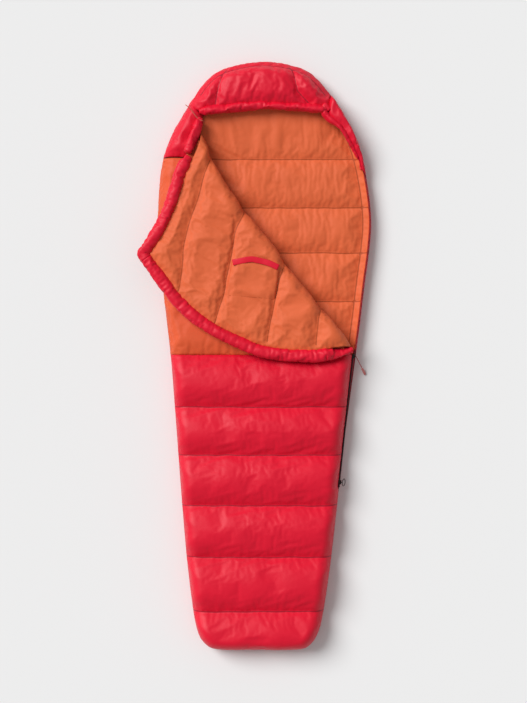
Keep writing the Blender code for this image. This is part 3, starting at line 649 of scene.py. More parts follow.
seamLevel = 0.078        # height of the seams across the front
sideLow = 0.034          # height of the seam that runs round the bag's side
sideWrap = 0.045         # how far in from the outline the sides turn over into the top
lap = 0.004              # neighbouring panels overlap by this much
zipTop = np.array([0.3287, 0.0036])
zipLow = np.array([0.278, -0.469])
zipSeam = {"inwards": 0.0042, "height": 0.0445}


def besideZip(x, y):      # 1 beside the closed part of the zip, 0 elsewhere
    return (x > 0) * smooth01((y + 0.492) / 0.022)


def zipX(y):
    return np.interp(y, [zipLow[1], zipTop[1]], [zipLow[0], zipTop[0]])


def tuckedIn(y, seamY):      # a panel's upper edge lies a little below its neighbour's
    return 0.0016 * smooth01((y - seamY + 0.003) / 0.005)


def lowerLevel(x, y):
    crown = 0.010 * (1 - np.clip(np.abs(x) / 0.3, 0, 1) ** 2) * smooth01((waistY - y) / 0.10)
    return seamLevel + crown - tuckedIn(y, waistY)


def lowerCreases(x, y, toSeam):
    fine = 0.0011 * wavy(x * 0.2, y, 0.0085, 15) * smooth01((x - edgeX(y, 1) + 0.10) / 0.06)
    rays = 0.0030 * wavy(x * 0.10 + y * 0.3, y * 0.9 - x * 0.30, 0.017, 17) * np.exp(-toSeam / 0.035)
    folds = creases(x, y, toSeam, 12, pucker=0.0011, drape=0.0012, slant=20, drapeSize=(0.20, 0.05))
    return folds + fine + rays


lowerFront = {"spacing": 0.0060, "wrap": sideWrap, "lift": 0.05, "level": lowerLevel, "rise": 0.031,
              "edgeHeight": lambda x, y: sideLow + (zipSeam["height"] - sideLow) * besideZip(x, y),
              "reach": 0.092, "uneven": 0.14, "crease": lowerCreases, "slack": 0.006, "pressure": 1.0,
              "cap": 0.012, "seed": 11}
lowerRim = outlineRun(-1, waistY + lap, 1, waistY + lap)
besideChain = zipX(lowerRim[:, 1]) - zipSeam["inwards"]
lowerRim[:, 0] += (besideChain - lowerRim[:, 0]) * besideZip(lowerRim[:, 0], lowerRim[:, 1])
waistLine = np.array([[zipTop[0] - zipSeam["inwards"], waistY + lap], [edgeX(waistY, -1), waistY + lap]])
obj = panel("lowerFrontShell", lowerRim, waistLine, [crossSeam(y, i) for i, y in enumerate(frontSeams)],
            lowerFront)
placeCloth(obj, redCloth, "shell_red", ["front_lower_shell"] + [f"front_fill_{i:02d}" for i in range(1, 7)])

# the fold: its visible edge runs a little off the straight hinge line, by so much to the right at each distance

foldBow = [(-0.012, 0.020), (0.0, 0.020), (0.11, -0.0055), (0.2445, -0.0157), (0.3664, -0.0109),
           (0.5012, -0.0035), (0.6491, 0.0), (0.7667, 0.011), (0.9093, 0.021), (0.945, 0.018)]
foldEdge = curveThrough([onFold(along, -right) for along, right in foldBow], outlineStep)
alongNeck = (hinge.y - neckY) / -foldAlong.y
alongWaist = (hinge.y - waistY) / -foldAlong.y


def shellFoldLine(fromAlong, toAlong):      # the shell's side of the fold, kept behind the visible edge
    edgeAlong, edgeLeft = acrossFold(foldEdge)
    u = np.linspace(fromAlong, toAlong, 120)
    left = np.maximum(0.002, 0.008 - np.interp(u, edgeAlong, -edgeLeft))
    return np.array([onFold(a, b)[:] for a, b in zip(u, left)])


# left front: orange, mostly under the laid-back flap

leftFront = {"spacing": 0.007, "wrap": sideWrap, "lift": 0.05, "edgeHeight": sideLow, "rise": 0.011,
             "level": lambda x, y: seamLevel - tuckedIn(y, neckY), "reach": 0.07, "ceiling": 0.0953,
             "crease": lambda x, y, d: creases(x, y, d, 22, slant=80), "slack": 0.025, "pressure": 1.0,
             "cap": 0.008, "seed": 21}
leftSeamY = 0.285
foldPath = shellFoldLine(alongWaist, alongNeck - lap)
cut = np.vstack([[[edgeX(waistY, -1), waistY]], foldPath, [[edgeX(neckY, -1), neckY + lap]]])
obj = panel("leftFrontShell", outlineRun(-1, neckY + lap, -1, waistY), cut, [crossSeam(leftSeamY, 31)],
            leftFront)
placeCloth(obj, orangeCloth, "shell_orange", ["front_left_shell", "front_left_fill_01", "front_left_fill_02"])

# neck: red, on both sides, its upper ends running under the hood

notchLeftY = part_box("neck_left_panel")[1].y
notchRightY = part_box("neck_right_panel")[1].y
hoodLap = 0.012
# where the hood's edge crosses each neck panel, and the direction that runs under the hood
hoodEnds = {-1: ((-0.254, 0.9086), (0.845, 0.534)), 1: ((0.2534, 0.935), (-0.992, 0.125))}


def underHood(side, x, y):
    (startX, startY), (overX, overY) = hoodEnds[side]
    return 0.016 * smooth01(((x - startX) * overX + (y - startY) * overY + 0.003) / 0.016)


neckInner = offOutline("neck_left_panel", 0.004)
neckInner = neckInner[np.argsort(neckInner[:, 1])]
neckInner = np.vstack([neckInner, [(-0.208, 0.866), (-0.224, 0.896)]])
neckLook = {"spacing": 0.006, "wrap": sideWrap, "lift": 0.05, "edgeHeight": sideLow, "rise": 0.014,
            "level": lambda x, y: seamLevel - underHood(-1, x, y), "reach": 0.05,
            "crease": lambda x, y, d: creases(x, y, d, 42, slant=60), "slack": 0.025, "pressure": 1.0,
            "cap": 0.009, "seed": 41}
obj = panel("neckLeftShell", outlineRun(-1, notchLeftY + hoodLap, -1, neckY), neckInner, [], neckLook)
placeCloth(obj, redCloth, "shell_red", ["neck_left_panel"])

rightLowY = 0.64
hiddenFromY = 0.86       # above this the panel's inner edge is under the hood
rightInner = offOutline("neck_right_panel", 0.0045)
rightInner = rightInner[np.argsort(-rightInner[:, 1])]
rightInner = np.vstack([[(0.226, 0.902), (0.230, 0.868)], rightInner[rightInner[:, 1] < hiddenFromY]])


def rightLevel(x, y):
    return 0.050 + 0.036 * smooth01((y - rightLowY) / 0.16) - underHood(1, x, y)


rightLook = dict(neckLook, level=rightLevel, wrap=0.006, lift=0.03, rise=0.010, reach=0.03, seed=43)
rightRim = outlineRun(1, rightLowY, 1, notchRightY + hoodLap)
obj = panel("neckRightShell", rightRim, rightInner, [], rightLook)
placeCloth(obj, redCloth, "shell_red", ["neck_right_panel"])

# hood: a red shell with a seam along the crown and two down its front, its lining, and a roll round the face

rollPoints = np.array([v.co[:2] for v in frame["nodes"]["hood_face_roll"].data.vertices])
rollFit = np.polyfit(rollPoints[:, 0], rollPoints[:, 1], 4)
rollX = np.linspace(rollPoints[:, 0].min() + 0.006, rollPoints[:, 0].max() - 0.006, 40)
faceLine = np.column_stack([rollX, np.polyval(rollFit, rollX)])


def hoodLevel(x, y):
    return 0.080 + 0.020 * np.exp(-(x / 0.22) ** 2 - ((y - 0.965) / 0.075) ** 2)


hoodLook = {"spacing": 0.006, "wrap": 0.05, "lift": 0.055, "edgeHeight": sideLow, "level": hoodLevel,
            "rise": 0.016, "reach": 0.05, "slack": 0.03, "pressure": 1.0, "cap": 0.012, "seed": 51,
            "crease": lambda x, y, d: creases(x, y, d, 53, pucker=0.0018, drape=0.0024, slant=70)}
hoodRim = outlineRun(1, notchRightY, -1, notchLeftY)
crownArc = outlineRun(1, 0.95, -1, 0.95)
hoodSeams = [[(-0.128, 1.040), (-0.143, 1.014), (-0.160, 0.955), (-0.170, 0.900)],
             [(0.100, 1.045), (0.112, 1.018), (0.127, 0.951), (0.185, 0.890)],
             crownArc + leftNormals(crownArc) * 0.014]
obj = panel("hoodShell", hoodRim, faceLine, hoodSeams, hoodLook)
hoodNodes = ["hood_crown_panel", "hood_visor_shell", "hood_visor_fill_left", "hood_visor_fill_middle",
             "hood_visor_fill_right"]
placeCloth(obj, redCloth, "shell_red", hoodNodes, blend=("bag", "visor", (0, 1.0, 0.036), (0, 1.0, 0.082)))
hoodUnder = {"spacing": 0.012, "rise": 0.004, "reach": 0.05, "facing": -1, "seed": 52, "level": 0.064}
obj = panel("hoodLining", None, np.vstack([hoodRim + leftNormals(hoodRim) * 0.012, faceLine]), [], hoodUnder)
placeCloth(obj, liningCloth, "lining_orange", ["hood_visor_lining"],
           blend=("bag", "visor", (0, 1, 0.034), (0, 1, 0.056)))

rollLook = {"pressure": 1.0, "cap": 0.006, "slack": 0.05, "gather": 0.0012, "seed": 61}
rollHeight = 0.083
rollLine = evenly(faceLine, 0.004)
fromEnd = np.minimum(np.arange(len(rollLine)), np.arange(len(rollLine))[::-1])
share = np.clip(fromEnd / 10 + 0.45, 0, 1)
obj = tubeAlong("hoodFaceRoll", rollLine, rollHeight, 0.0165 * share, 0.020 * share, rollLook)
placePadded(obj, redCloth, "shell_red", ["hood_face_roll"], fill=0.7, body="visor")


def tapered(line, run, shares):      # the share of a roll's full size at each point of its line
    count = len(line)
    return np.interp(np.arange(count), [0, run, count - run, count - 1], shares)


neckRollLine = evenly(np.vstack([faceLine[-1:] + [[0.004, -0.004]], curveThrough(rightInner, 0.01)]), 0.004)
share = tapered(neckRollLine, 14, [0.7, 1, 0.5, 0.2])
sunk = 0.030 * smooth01((0.80 - neckRollLine[:, 1]) / 0.12)
obj = tubeAlong("neckRoll", neckRollLine, rollHeight - sunk, 0.013 * share, 0.017 * share,
                dict(rollLook, seed=62))
placePadded(obj, redCloth, "shell_red", fill=0.7)
leftRollPoints = [(-0.222, 0.854), (-0.228, 0.838), (-0.239, 0.803), (-0.252, 0.768), (-0.268, 0.728)]
leftRollLine = curveThrough(leftRollPoints, 0.004)
share = tapered(leftRollLine, 8, [0.6, 1, 1, 0.8])
obj = tubeAlong("neckRollLeft", leftRollLine, np.linspace(0.088, 0.121, len(leftRollLine)), 0.0175 * share,
                0.017 * share, dict(rollLook, seed=63))
placePadded(obj, redCloth, "shell_red", fill=0.7)
print("neck and hood made")

# back: orange lining inside, red shell beneath, its edge turned up along the open side

openEdgeAngle = -42      # degrees by which the shell's edge is turned in along the open side


def alongOpenSide(x, y):      # 1 along the open side of the bag, 0 elsewhere
    return (x > 0) * smooth01(y / 0.03) * smooth01((0.70 - y) / 0.05)


backUnder = {"spacing": 0.009, "wrap": 0.032, "lift": 0.034, "edgeHeight": sideLow, "rise": 0.006,
             "reach": 0.07, "facing": -1, "ground": 0.0004, "seed": 71, "level": 0.0066,
             "edgeAngle": lambda rim: openEdgeAngle * alongOpenSide(rim[:, 0], rim[:, 1])}
obj = panel("backShell", bagLoop, None, [crossSeam(y, 80 + i) for i, y in enumerate(backSeams)], backUnder)
placeCloth(obj, redCloth, "shell_red_back",
           ["back_shell", "hood_back_fill"] + [f"back_fill_{i:02d}" for i in range(1, 11)])


def hiddenBack(points):      # where the front or the flap covers the lining
    toLeft = acrossFold(points)[1]
    return (points[:, 1] < waistY - 0.02) | (toLeft > 0.05) & (points[:, 1] < 0.80)
def liningCreases(x, y, toSeam):
    fine = 0.0006 * wavy(x, y * 0.25, 0.012, 95) * smooth01((x - 0.08) / 0.15)
    pull = 0.0028 * wavy(x * 0.5 + y * 0.9, x * 0.06 - y * 0.04, 0.022, 96)
    pull = pull * np.exp(-((x + 0.13) / 0.09) ** 2 - ((y - 0.70) / 0.07) ** 2)
    folds = creases(x, y, toSeam, 92, pucker=0.0024, drape=0.0007, slant=100, drapeSize=(0.08, 0.03))
    return folds + fine + pull


liningLook = {"spacing": 0.0060, "wrap": 0.030, "lift": 0.022, "level": 0.0345, "bulge": "in", "rise": 0.013,
              "edgeHeight": lambda x, y: 0.0568 - 0.0025 * alongOpenSide(x, y), "reach": 0.07,
              "crease": liningCreases, "coarse": hiddenBack, "ceiling": 0.0574, "slack": 0.02,
              "pressure": 1.0, "cap": 0.009, "seed": 91}
liningInset = 0.0110 - 0.0052 * alongOpenSide(*bagLoop.T)
liningLoop = bagLoop + leftNormals(bagLoop, True) * liningInset[:, None]
liningLoop[:, 0] -= 0.017 * besideZip(*liningLoop.T) * smooth01((0.012 - liningLoop[:, 1]) / 0.022)
tubeSeam = outlineRun(1, 0.02, 1, 0.86)
tubeSeam = tubeSeam + leftNormals(tubeSeam) * 0.030
liningSeams = [crossSeam(y, 90 + i) for i, y in enumerate(backSeams)] + [tubeSeam]
obj = panel("backLining", liningLoop, None, liningSeams, liningLook)
placeCloth(obj, liningCloth, "lining_orange",
           ["back_lining", "side_baffle", "hood_rim_baffle", "zip_draft_tube"])
print("back made")

# flap: laid back over the left side, lining up, with a padded band along its free edges

flapLoop = nodeLoop("flap_shell")
outerPoints = flapLoop[acrossFold(flapLoop)[1] > 0.006]
outerPoints = outerPoints[np.argsort(acrossFold(outerPoints)[0])]
outerLine = curveThrough(outerPoints, outlineStep)
band = {"width": 0.042, "height": 0.041, "low": 0.0985, "roundedOver": 9}
kernel = np.exp(-(np.arange(-band["roundedOver"], band["roundedOver"] + 1) / 3.5) ** 2 / 2)
kernel /= kernel.sum()
bandMiddle = outerLine + leftNormals(outerLine) * (band["width"] / 2 - 0.003)
bandMiddle = np.pad(bandMiddle, ((band["roundedOver"],) * 2, (0, 0)), mode="edge")
bandMiddle = np.column_stack([np.convolve(bandMiddle[:, k], kernel, "valid") for k in (0, 1)])
bandMiddle = evenly(bandMiddle, outlineStep)
innerLine = bandMiddle + leftNormals(bandMiddle) * (band["width"] / 2 - 0.006)
innerLine = innerLine[acrossFold(innerLine)[1] > 0.004]


def flapCreases(x, y, toSeam):
    return creases(x, y, toSeam, 103, pucker=0.0018, drape=0.0014, slant=150, drapeSize=(0.07, 0.02))


flapTop = {"spacing": 0.0058, "wrap": 0.028, "lift": 0.034, "meanAngle": -1.45, "edgeAngle": -83.0,
           "edgeHeight": 0.092, "level": 0.1225, "rise": 0.015, "reach": 0.06, "rimSwell": 0.004,
           "crease": flapCreases, "ceiling": 0.1495, "slack": 0.025, "pressure": 1.0, "cap": 0.010, "seed": 101}
flapSeams = [
    [(-0.160, 0.740), (-0.201, 0.664), (-0.228, 0.5665), (-0.256, 0.488), (-0.2795, 0.396), (-0.284, 0.331),
     (-0.295, 0.250), (-0.303, 0.225)],
    [(-0.020, 0.575), (-0.067, 0.502), (-0.0945, 0.446), (-0.109, 0.363), (-0.127, 0.280), (-0.136, 0.225),
     (-0.160, 0.150), (-0.168, 0.122)],
    [(0.095, 0.350), (0.065, 0.283), (0.052, 0.228), (0.042, 0.179), (0.031, 0.127), (0.022, 0.080),
     (0.018, 0.052)],
    [(0.235, 0.215), (0.206, 0.148), (0.199, 0.1035), (0.194, 0.060), (0.193, 0.040)]]
flapSeams = [curveThrough(line, 0.006) for line in flapSeams]
obj = panel("flapLining", foldEdge[::-1], innerLine, flapSeams, flapTop)
placeCloth(obj, liningCloth, "lining_orange", ["flap_lining"] + [f"flap_fill_{i}" for i in range(1, 5)],
           blend=("bag", "flap", (0, 0, 0.080), (0, 0, 0.116)))
flapTopTree = BVHTree.FromObject(obj, bpy.context.evaluated_depsgraph_get())

corner = int(np.argmax(acrossFold(bandMiddle)[1]))
tubeLook = {"pressure": 1.0, "cap": 0.007, "slack": 0.05, "gather": 0.0016, "square": 0.85, "ring": 32}
endShare = np.linspace(0.6, 1, 8)
for name, line, node, seed in (("flapNeckBand", bandMiddle[:corner + 1], "flap_neck_band", 111),
                               ("flapZipBand", bandMiddle[corner:], "flap_zip_band", 112)):
    share = np.ones(len(line))
    if name == "flapNeckBand":
        share[:8] = endShare
    else:
        share[-8:] = endShare[::-1]
    obj = tubeAlong(name, line, band["low"] + band["height"] / 2, band["width"] / 2 * share,
                    band["height"] / 2 * share, dict(tubeLook, seed=seed))
    placePadded(obj, redCloth, "shell_red", [node], fill=0.75, body="flap")

shellPath = shellFoldLine(alongNeck * 0.1, 0.93)
flapUnder = {"spacing": 0.008, "rise": 0.007, "reach": 0.05, "facing": -1, "seed": 121, "level": 0.1042}
shellCut = np.vstack([shellPath[::-1], outerLine + leftNormals(outerLine) * 0.004])
obj = panel("flapShell", None, shellCut, flapSeams, flapUnder)
placeCloth(obj, orangeCloth, "shell_orange", ["flap_shell"], body="flap")
print("flap made")
def ribbon(name, first, second, columns=2, bulge=None, thickness=0.0009):
    share = np.linspace(0, 1, columns)
    co = first[:, None] + (second - first)[:, None] * share[None, :, None]
    if bulge is not None:
        co = co + np.sin(share * math.pi)[None, :, None] * bulge
    rows = len(first)
    along = np.concatenate([[0], np.cumsum(np.linalg.norm(np.diff(first, axis=0), axis=1))])
    width = np.linalg.norm(second[0] - first[0])
    flat = np.column_stack([np.repeat(along, columns), np.tile(share * width, rows)])
    faces = [(i * columns + j, (i + 1) * columns + j, (i + 1) * columns + j + 1, i * columns + j + 1)
             for i in range(rows - 1) for j in range(columns - 1)]
    obj = clothObject(name, co.reshape(-1, 3), faces, flat, np.full(len(flat), 1.0))
    obj.data.shade_smooth()
    giveThickness(obj, thickness)
    return obj


def at(points, z):
    return np.column_stack([points, np.broadcast_to(z, len(points))])

# the strip of shell that joins the two halves of the front inside the fold
strip = {"low": 0.0925, "high": 0.1052, "bulge": 0.006}
obj = ribbon("foldStrip", at(shellPath, strip["low"]), at(shellPath, strip["high"]), 9,
             np.array([*(foldRight * strip["bulge"]), 0]))
placePadded(obj, orangeCloth, "shell_orange", fill=0.3, blend=("bag", "flap", (0, 0, 0.0930), (0, 0, 0.1045)))

# the front's lining: its loop stays inside the shell, and clear of the closed zip
liningUnder = {"spacing": 0.012, "rise": 0.002, "reach": 0.05, "facing": -1, "seed": 131, "level": 0.0605}
frontLoop = nodeLoop("front_lining")
frontLoop = frontLoop + leftNormals(frontLoop, True) * 0.012
frontLoop[:, 0] -= 0.016 * besideZip(*frontLoop.T)
obj = panel("frontLining", None, frontLoop, [], liningUnder)
placeCloth(obj, liningCloth, "lining_orange", ["front_lining"], fill=0.5)

# stash pocket on the flap's lining: a sheet that lies on it, with a red binding along its curved mouth

pocket = {"mouth": [(-0.107, 0.3435), (-0.0444, 0.355), (-0.0157, 0.352), (0.0251, 0.3416), (0.0628, 0.3251)],
          "bottom": [(-0.130, 0.215), (0.045, 0.200)], "rows": 30, "ceiling": 0.151, "bindingWidth": 0.021,
          "bindingLift": 0.0080}
def flapTopAt(point):
    hit = flapTopTree.ray_cast(Vector((*point, 0.25)), Vector((0, 0, -1)))[0]
    return hit.z if hit else 0.134


mouth = evenly(curveThrough(pocket["mouth"], 0.002), 0.005)
bottomLeft, bottomRight = np.array(pocket["bottom"])
across = np.linspace(0, 1, len(mouth))[:, None]
bottom = bottomLeft + across * (bottomRight - bottomLeft)
drop = np.linspace(0, 1, pocket["rows"])
plan = mouth[:, None] + (bottom - mouth)[:, None] * drop[None, :, None]
bulge = np.sin(across * math.pi) ** 0.6 * np.sin(np.clip(drop + 0.25, 0, 1) * math.pi)[None, :]
clearance = 0.0022 - 0.0036 * drop[None, :] ** 8 + 0.0035 * bulge
pocketZ = np.array([[flapTopAt(p) for p in row] for row in plan]) + clearance
pocketZ = np.minimum(pocketZ, pocket["ceiling"])
flat = plan.reshape(-1, 2)
rows = pocket["rows"]
faces = [((i + 1) * rows + j, (i + 1) * rows + j + 1, i * rows + j + 1, i * rows + j)
         for i in range(len(mouth) - 1) for j in range(rows - 1)]
obj = clothObject("pocketPanel", np.column_stack([flat, pocketZ.ravel()]), faces, flat,
                  np.full(len(flat), 0.02))
obj.data.shade_smooth()
giveThickness(obj)
placeHard(obj, liningCloth, "lining_orange", "flap", "pocket_panel")
bindingLine = mouth - leftNormals(mouth) * pocket["bindingWidth"] / 2
bindingZ = np.array([max(flapTopAt(p), flapTopAt(q)) for p, q in zip(bindingLine, mouth)])
bindingZ = bindingZ + pocket["bindingLift"]
bindingZ = np.convolve(np.pad(bindingZ, 5, mode="edge"), np.ones(11) / 11, "valid")
obj = tubeAlong("pocketBinding", bindingLine, bindingZ, pocket["bindingWidth"] / 2, 0.0014,
                {"ring": 20, "square": 0.7, "gather": 0.0004, "gatherSize": 0.02, "seed": 141})
placePadded(obj, redCloth, "binding_red", ["pocket_binding"], fill=0.2, body="flap")
print("pocket made")

# zip: coil teeth on a woven tape, closed below the upper slider and open above it

zipDown = Vector((-0.106667, -0.994295, 0))
zipOut = Vector((0.994295, -0.106667, 0))
upward = Vector((0, 0, 1))
# the teeth stand wider apart than on a real zip, which would have about twice as many
tooth = {"pitch": 0.0028, "size": (0.0015, 0.0040, 0.0026), "bevel": 0.0004}
def block(size, place=(0, 0, 0), bevel=0.0005, segments=2):
    bpy.ops.object.select_all(action="DESELECT")
    bpy.ops.mesh.primitive_cube_add(size=1)
    obj = bpy.context.object
    bpy.ops.object.mode_set(mode="EDIT")
    bpy.ops.transform.resize(value=size)
    bpy.ops.transform.translate(value=place)
    bpy.ops.object.mode_set(mode="OBJECT")
    edge = obj.modifiers.new("edge", "BEVEL")
    edge.width = bevel
    edge.segments = segments
    bpy.ops.object.modifier_apply(modifier="edge")
    return obj


def rod(radius, depth, place=(0, 0, 0), turn=(0, 0, 0), bevel=0.0, sides=32):
    bpy.ops.object.select_all(action="DESELECT")
    bpy.ops.mesh.primitive_cylinder_add(vertices=sides, radius=radius, depth=depth)
    obj = bpy.context.object
    obj.data.transform(Matrix.Translation(place) @ Euler(turn).to_matrix().to_4x4())
    if bevel:
        edge = obj.modifiers.new("edge", "BEVEL")
        edge.width = bevel
        edge.segments = 3
        edge.limit_method = "ANGLE"
        bpy.ops.object.modifier_apply(modifier="edge")
    return obj


def joined(name, parts, place):
    bpy.ops.object.select_all(action="DESELECT")
    for part in parts:
        part.select_set(True)
    bpy.context.view_layer.objects.active = parts[0]
    if len(parts) > 1:
        bpy.ops.object.join()
    obj = parts[0]
    obj.name = obj.data.name = name
    obj.data.transform(place)
    bpy.ops.object.shade_smooth_by_angle(angle=math.radians(40))
    bpy.ops.object.select_all(action="DESELECT")
    return obj


def frameAt(x, y, z, place):
    turned = Matrix((x, y, z)).transposed().to_4x4()
    return Matrix.Translation(place) @ turned


def toothRow(name, line, sides, shift):
    master = block(tooth["size"], bevel=tooth["bevel"], segments=1)
    shape = np.array([v.co[:] for v in master.data.vertices])
    shapeFaces = [tuple(f.vertices) for f in master.data.polygons]
    bpy.data.objects.remove(master)
    run = np.gradient(line, axis=0)
    run /= np.linalg.norm(run, axis=1)[:, None]
    across = np.column_stack([-run[:, 1], run[:, 0], np.zeros(len(line))])
    co, faces = [], []
    for i, (place, along, side) in enumerate(zip(line, run, across)):
        side = side / np.linalg.norm(side)
        up = np.cross(along, side)
        middle = place + side * shift * (1 if i % 2 or not sides else -1)
        faces += [tuple(k + len(shape) * i for k in f) for f in shapeFaces]
        co.append(middle + shape[:, :1] * along + shape[:, 1:2] * side + shape[:, 2:] * up)
    mesh = bpy.data.meshes.new(name)
    mesh.from_pydata(np.vstack(co).tolist(), [], faces)
    obj = bpy.data.objects.new(name, mesh)
    scene.collection.objects.link(obj)
    return obj


zipHeights = {"chain": 0.046, "coil": 0.0466, "tapeInner": 0.0445, "tapeMiddle": 0.0440, "tapeOuter": 0.0335,
              "backLow": 0.0325, "backTop": 0.0522, "backCoil": 0.0445, "flapTape": 0.0990,
              "flapTapeInner": 0.0996, "flapCoil": 0.0981}
closedLine = evenly(at(np.array([zipTop, zipLow]), zipHeights["coil"]), tooth["pitch"] / 2)
placeHard(toothRow("zipClosedCoil", closedLine, True, 0.0009), zipCoil, "zip_teeth", "bag", "zip_closed_teeth")
ys = np.linspace(0.006, -0.474, 97)
outerSide = at(np.column_stack([edgeX(ys, 1) - 0.001, ys]), zipHeights["tapeOuter"])
innerSide = at(np.column_stack([zipX(ys) - 0.0050, ys]), zipHeights["tapeInner"])
middleSide = at(np.column_stack([zipX(ys) + 0.0030, ys]), zipHeights["tapeMiddle"])
obj = ribbon("zipClosedTape", innerSide, middleSide, 3)
placeHard(obj, zipTape, "zip_tape", "bag", "zip_closed_tape")
obj = ribbon("zipClosedFlange", middleSide, outerSide, 3)
placeHard(obj, zipTape, "zip_tape", "bag")

ys = np.linspace(0.006, 0.672, 140)
openOuter = np.column_stack([edgeX(ys, 1), ys])
openInner = openOuter + leftNormals(openOuter) * 0.0062
openOuter = openOuter - leftNormals(openOuter) * 0.0006
obj = ribbon("zipBackTape", at(openOuter, zipHeights["backLow"]), at(openInner, zipHeights["backTop"]), 5)
placeHard(obj, zipTape, "zip_tape", "bag", "zip_back_half")
coilLine = evenly(at(openOuter + leftNormals(openOuter) * 0.0034, zipHeights["backCoil"]), tooth["pitch"])
placeHard(toothRow("zipBackCoil", coilLine, False, 0.0), zipCoil, "zip_teeth", "bag")

zipPart = outerLine[int(np.argmax(acrossFold(outerLine)[1])):]
zipPart = zipPart[acrossFold(zipPart)[1] > 0.01]
under = leftNormals(zipPart)
obj = ribbon("flapZipTape", at(zipPart + under * 0.0005, zipHeights["flapTape"]),
             at(zipPart + under * 0.0125, zipHeights["flapTapeInner"]), 3)
placeHard(obj, zipTape, "zip_tape", "flap", "flap_zip_half")
coilLine = evenly(at(zipPart + under * 0.0016, zipHeights["flapCoil"]), tooth["pitch"])
placeHard(toothRow("flapZipCoil", coilLine, False, 0.0), zipCoil, "zip_teeth", "flap")

# the band's stuffed end, which stays on the bag at the top of the closed zip
endLine = curveThrough([(0.226, 0.002), (0.262, 0.008), (0.290, 0.015), (0.310, 0.019), (0.325, 0.021)], 0.004)
endHeight, endWide, endHigh = [np.linspace(first, last, len(endLine))
                               for first, last in ((0.1185, 0.094), (0.0200, 0.011), (0.0195, 0.012))]
obj = tubeAlong("bandEnd", endLine, endHeight, endWide, endHigh, dict(rollLook, seed=64))
placePadded(obj, redCloth, "shell_red", fill=0.6)

stopPlace = Vector((*zipLow, zipHeights["chain"])) + zipDown * 0.0036
obj = joined("zipBottomStop", [block((0.006, 0.0064, 0.0042), bevel=0.0009, segments=3)],
             frameAt(zipDown, zipOut, upward, stopPlace))
placeHard(obj, sliderMetal, "slider_metal", "bag", "zip_bottom_stop")

# a slider is two plates joined at their sides, so that the chain runs between them, with a ring for its pull
slider = {"length": 0.015, "width": 0.0124, "plate": 0.0016, "slot": 0.0042, "pivot": 0.0099,
          "ringRadius": 0.0023, "ringWire": 0.0007, "ringOut": 0.0086}


def makeSlider(name, pivot, body, node):
    up = (slider["slot"] + slider["plate"]) / 2
    plate = (slider["length"], slider["width"], slider["plate"])
    wall = (slider["length"] * 0.92, 0.0012, slider["slot"] + 0.0012)
    parts = [block(plate, (0, 0, side * up), 0.0007, 3) for side in (-1, 1)]
    parts += [block(wall, (0, side * 0.0054, 0), 0.0003) for side in (-1, 1)]
    parts.append(block((0.0085, 0.0030, 0.0012), (0, 0, up + 0.0010), 0.0005, 3))
    parts.append(block((0.0040, 0.0022, 0.0030), (0, 0.0066, 0), 0.0006, 2))
    bpy.ops.object.select_all(action="DESELECT")
    bpy.ops.mesh.primitive_torus_add(major_radius=slider["ringRadius"], minor_radius=slider["ringWire"],
                                     major_segments=28, minor_segments=10)
    ring = bpy.context.object
    upright = Euler((0, math.pi / 2, 0)).to_matrix().to_4x4()
    ring.data.transform(Matrix.Translation((0, slider["ringOut"], 0)) @ upright)
    parts.append(ring)
    place = Vector(pivot) - zipOut * slider["pivot"]
    obj = joined(name, parts, frameAt(zipDown, zipOut, upward, place))
    placeHard(obj, sliderMetal, "slider_metal", body, node)


upperPivot = Vector((0.339509, -0.001583, zipHeights["chain"]))
lowerPivot = Vector((0.290516, -0.458274, zipHeights["chain"]))
makeSlider("upperSlider", upperPivot, "upper_slider", "upper_slider")
makeSlider("lowerSlider", lowerPivot, "lower_slider", "lower_slider")

# the upper pull is a cord with a ribbed grip that reaches out past the bag's side, the lower one a loop
pull = {"toward": Vector((0.4225, -0.7717, -0.4754)).normalized(), "cord": 0.057, "radius": 0.0013,
        "sag": 0.0016, "grip": (0.030, 0.0085, 0.0040), "rib": (0.0010, 0.0070, 0.0046), "ribPitch": 0.004}
flatOut = Vector((-pull["toward"].y, pull["toward"].x, 0)).normalized()
gripMiddle = upperPivot + pull["toward"] * (pull["cord"] + pull["grip"][0] / 2)
gripParts = [block(pull["grip"], bevel=0.0017, segments=4)]
gripParts += [block(pull["rib"], (i * pull["ribPitch"], 0, 0), 0.0003) for i in (-2, -1, 0, 1, 2)]
grip = joined("upperPullGrip", gripParts,
              frameAt(pull["toward"], flatOut, pull["toward"].cross(flatOut), gripMiddle))
placeHard(grip, gripRubber, "pull_grip", "upper_pull", "upper_pull_grip")
cordPoints = [upperPivot + pull["toward"] * pull["cord"] * t + upward * (pull["sag"] * math.sin(t * math.pi))
              for t in np.linspace(0, 1, 24)]
obj = wire("upperPullCord", cordPoints, pull["radius"])
placeHard(obj, pullBraid, "pull_cord", "upper_pull", "upper_pull_cord")

outDrop = zipOut * 0.5 - upward * 0.866
loopLook = {"long": 0.0105, "wide": 0.013, "radius": 0.0013}
loopMiddle = lowerPivot + outDrop * loopLook["long"]
loopPoints = [loopMiddle + outDrop * loopLook["long"] * math.cos(t) + zipDown * loopLook["wide"] * math.sin(t)
              for t in np.linspace(0, 2 * math.pi, 48, endpoint=False)]
obj = wire("lowerPullLoop", loopPoints, loopLook["radius"], closed=True)
placeHard(obj, loopBraid, "pull_loop", "lower_pull", "lower_pull_loop")
print("zip made")

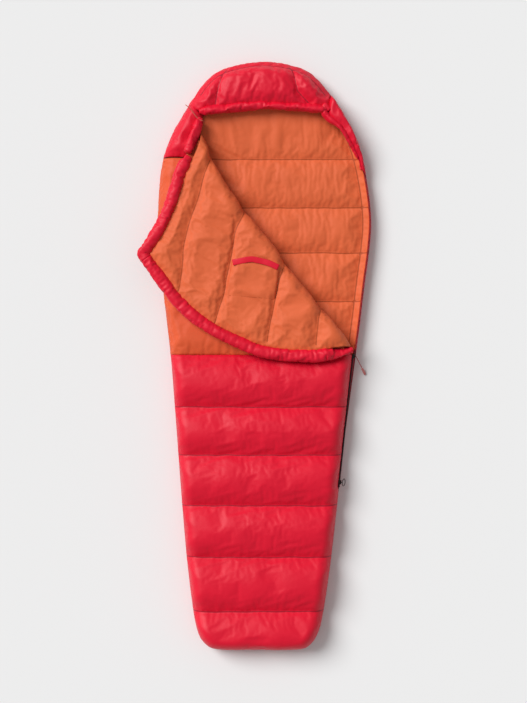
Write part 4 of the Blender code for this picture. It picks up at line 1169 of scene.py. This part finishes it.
# cord lock of the hood: a barrel, a button in it and a spring under the button
lock = {"base": Vector((-0.262, 0.8, 0.0418)), "radius": 0.0075, "length": 0.019, "wall": 0.0015,
        "floor": 0.002, "buttonRadius": 0.0057, "buttonLow": 0.0105, "buttonLength": 0.015,
        "holeRadius": 0.0021, "turns": 4,
        "springRadius": 0.0042, "springWire": 0.00035}
lockPlace = Matrix.Translation(lock["base"]) @ Euler((-math.pi / 2, 0, 0)).to_matrix().to_4x4()


def cutWith(obj, cutter):
    cut = obj.modifiers.new("cut", "BOOLEAN")
    cut.object = cutter
    cut.solver = "EXACT"
    bpy.context.view_layer.objects.active = obj
    bpy.ops.object.modifier_apply(modifier="cut")


def makeLock():
    upTo = lock["length"] / 2
    holeHeight = (lock["buttonLow"] + lock["length"]) / 2
    buttonMiddle = lock["buttonLow"] + lock["buttonLength"] / 2
    barrel = rod(lock["radius"], lock["length"], (0, 0, upTo), bevel=0.0006, sides=48)
    bore = rod(lock["radius"] - lock["wall"], lock["length"], (0, 0, upTo + lock["floor"]), sides=48)
    button = rod(lock["buttonRadius"], lock["buttonLength"], (0, 0, buttonMiddle), bevel=0.0009, sides=48)
    hole = rod(lock["holeRadius"], 0.03, (0, 0, holeHeight), (0, math.pi / 2, 0))
    cutWith(barrel, bore)
    cutWith(barrel, hole)
    cutWith(button, hole)
    for cutter in (bore, hole):
        bpy.data.objects.remove(cutter)
    barrel = joined("cordLockBarrel", [barrel], lockPlace)
    placeHard(barrel, lockPlastic, "lock_plastic", "bag", "cord_lock_barrel")
    button = joined("cordLockButton", [button], lockPlace)
    placeHard(button, lockPlastic, "lock_plastic", "lock_button", "cord_lock_button")
    turns = np.linspace(0, lock["turns"] * 2 * math.pi, lock["turns"] * 24)
    rise = np.linspace(lock["floor"] + 0.0004, lock["buttonLow"] - 0.0004, len(turns))
    coil = [lockPlace @ Vector((lock["springRadius"] * math.cos(t), lock["springRadius"] * math.sin(t), z))
            for t, z in zip(turns, rise)]
    spring = wire("cordLockSpring", coil, lock["springWire"])
    bpy.ops.object.select_all(action="DESELECT")
    spring.select_set(True)
    bpy.context.view_layer.objects.active = spring
    bpy.ops.object.convert(target="MESH")
    spring.select_set(False)
    placeHard(spring, springSteel, "spring_steel", "bag", "cord_lock_spring")
    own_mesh(spring)


makeLock()
print("cord lock made")
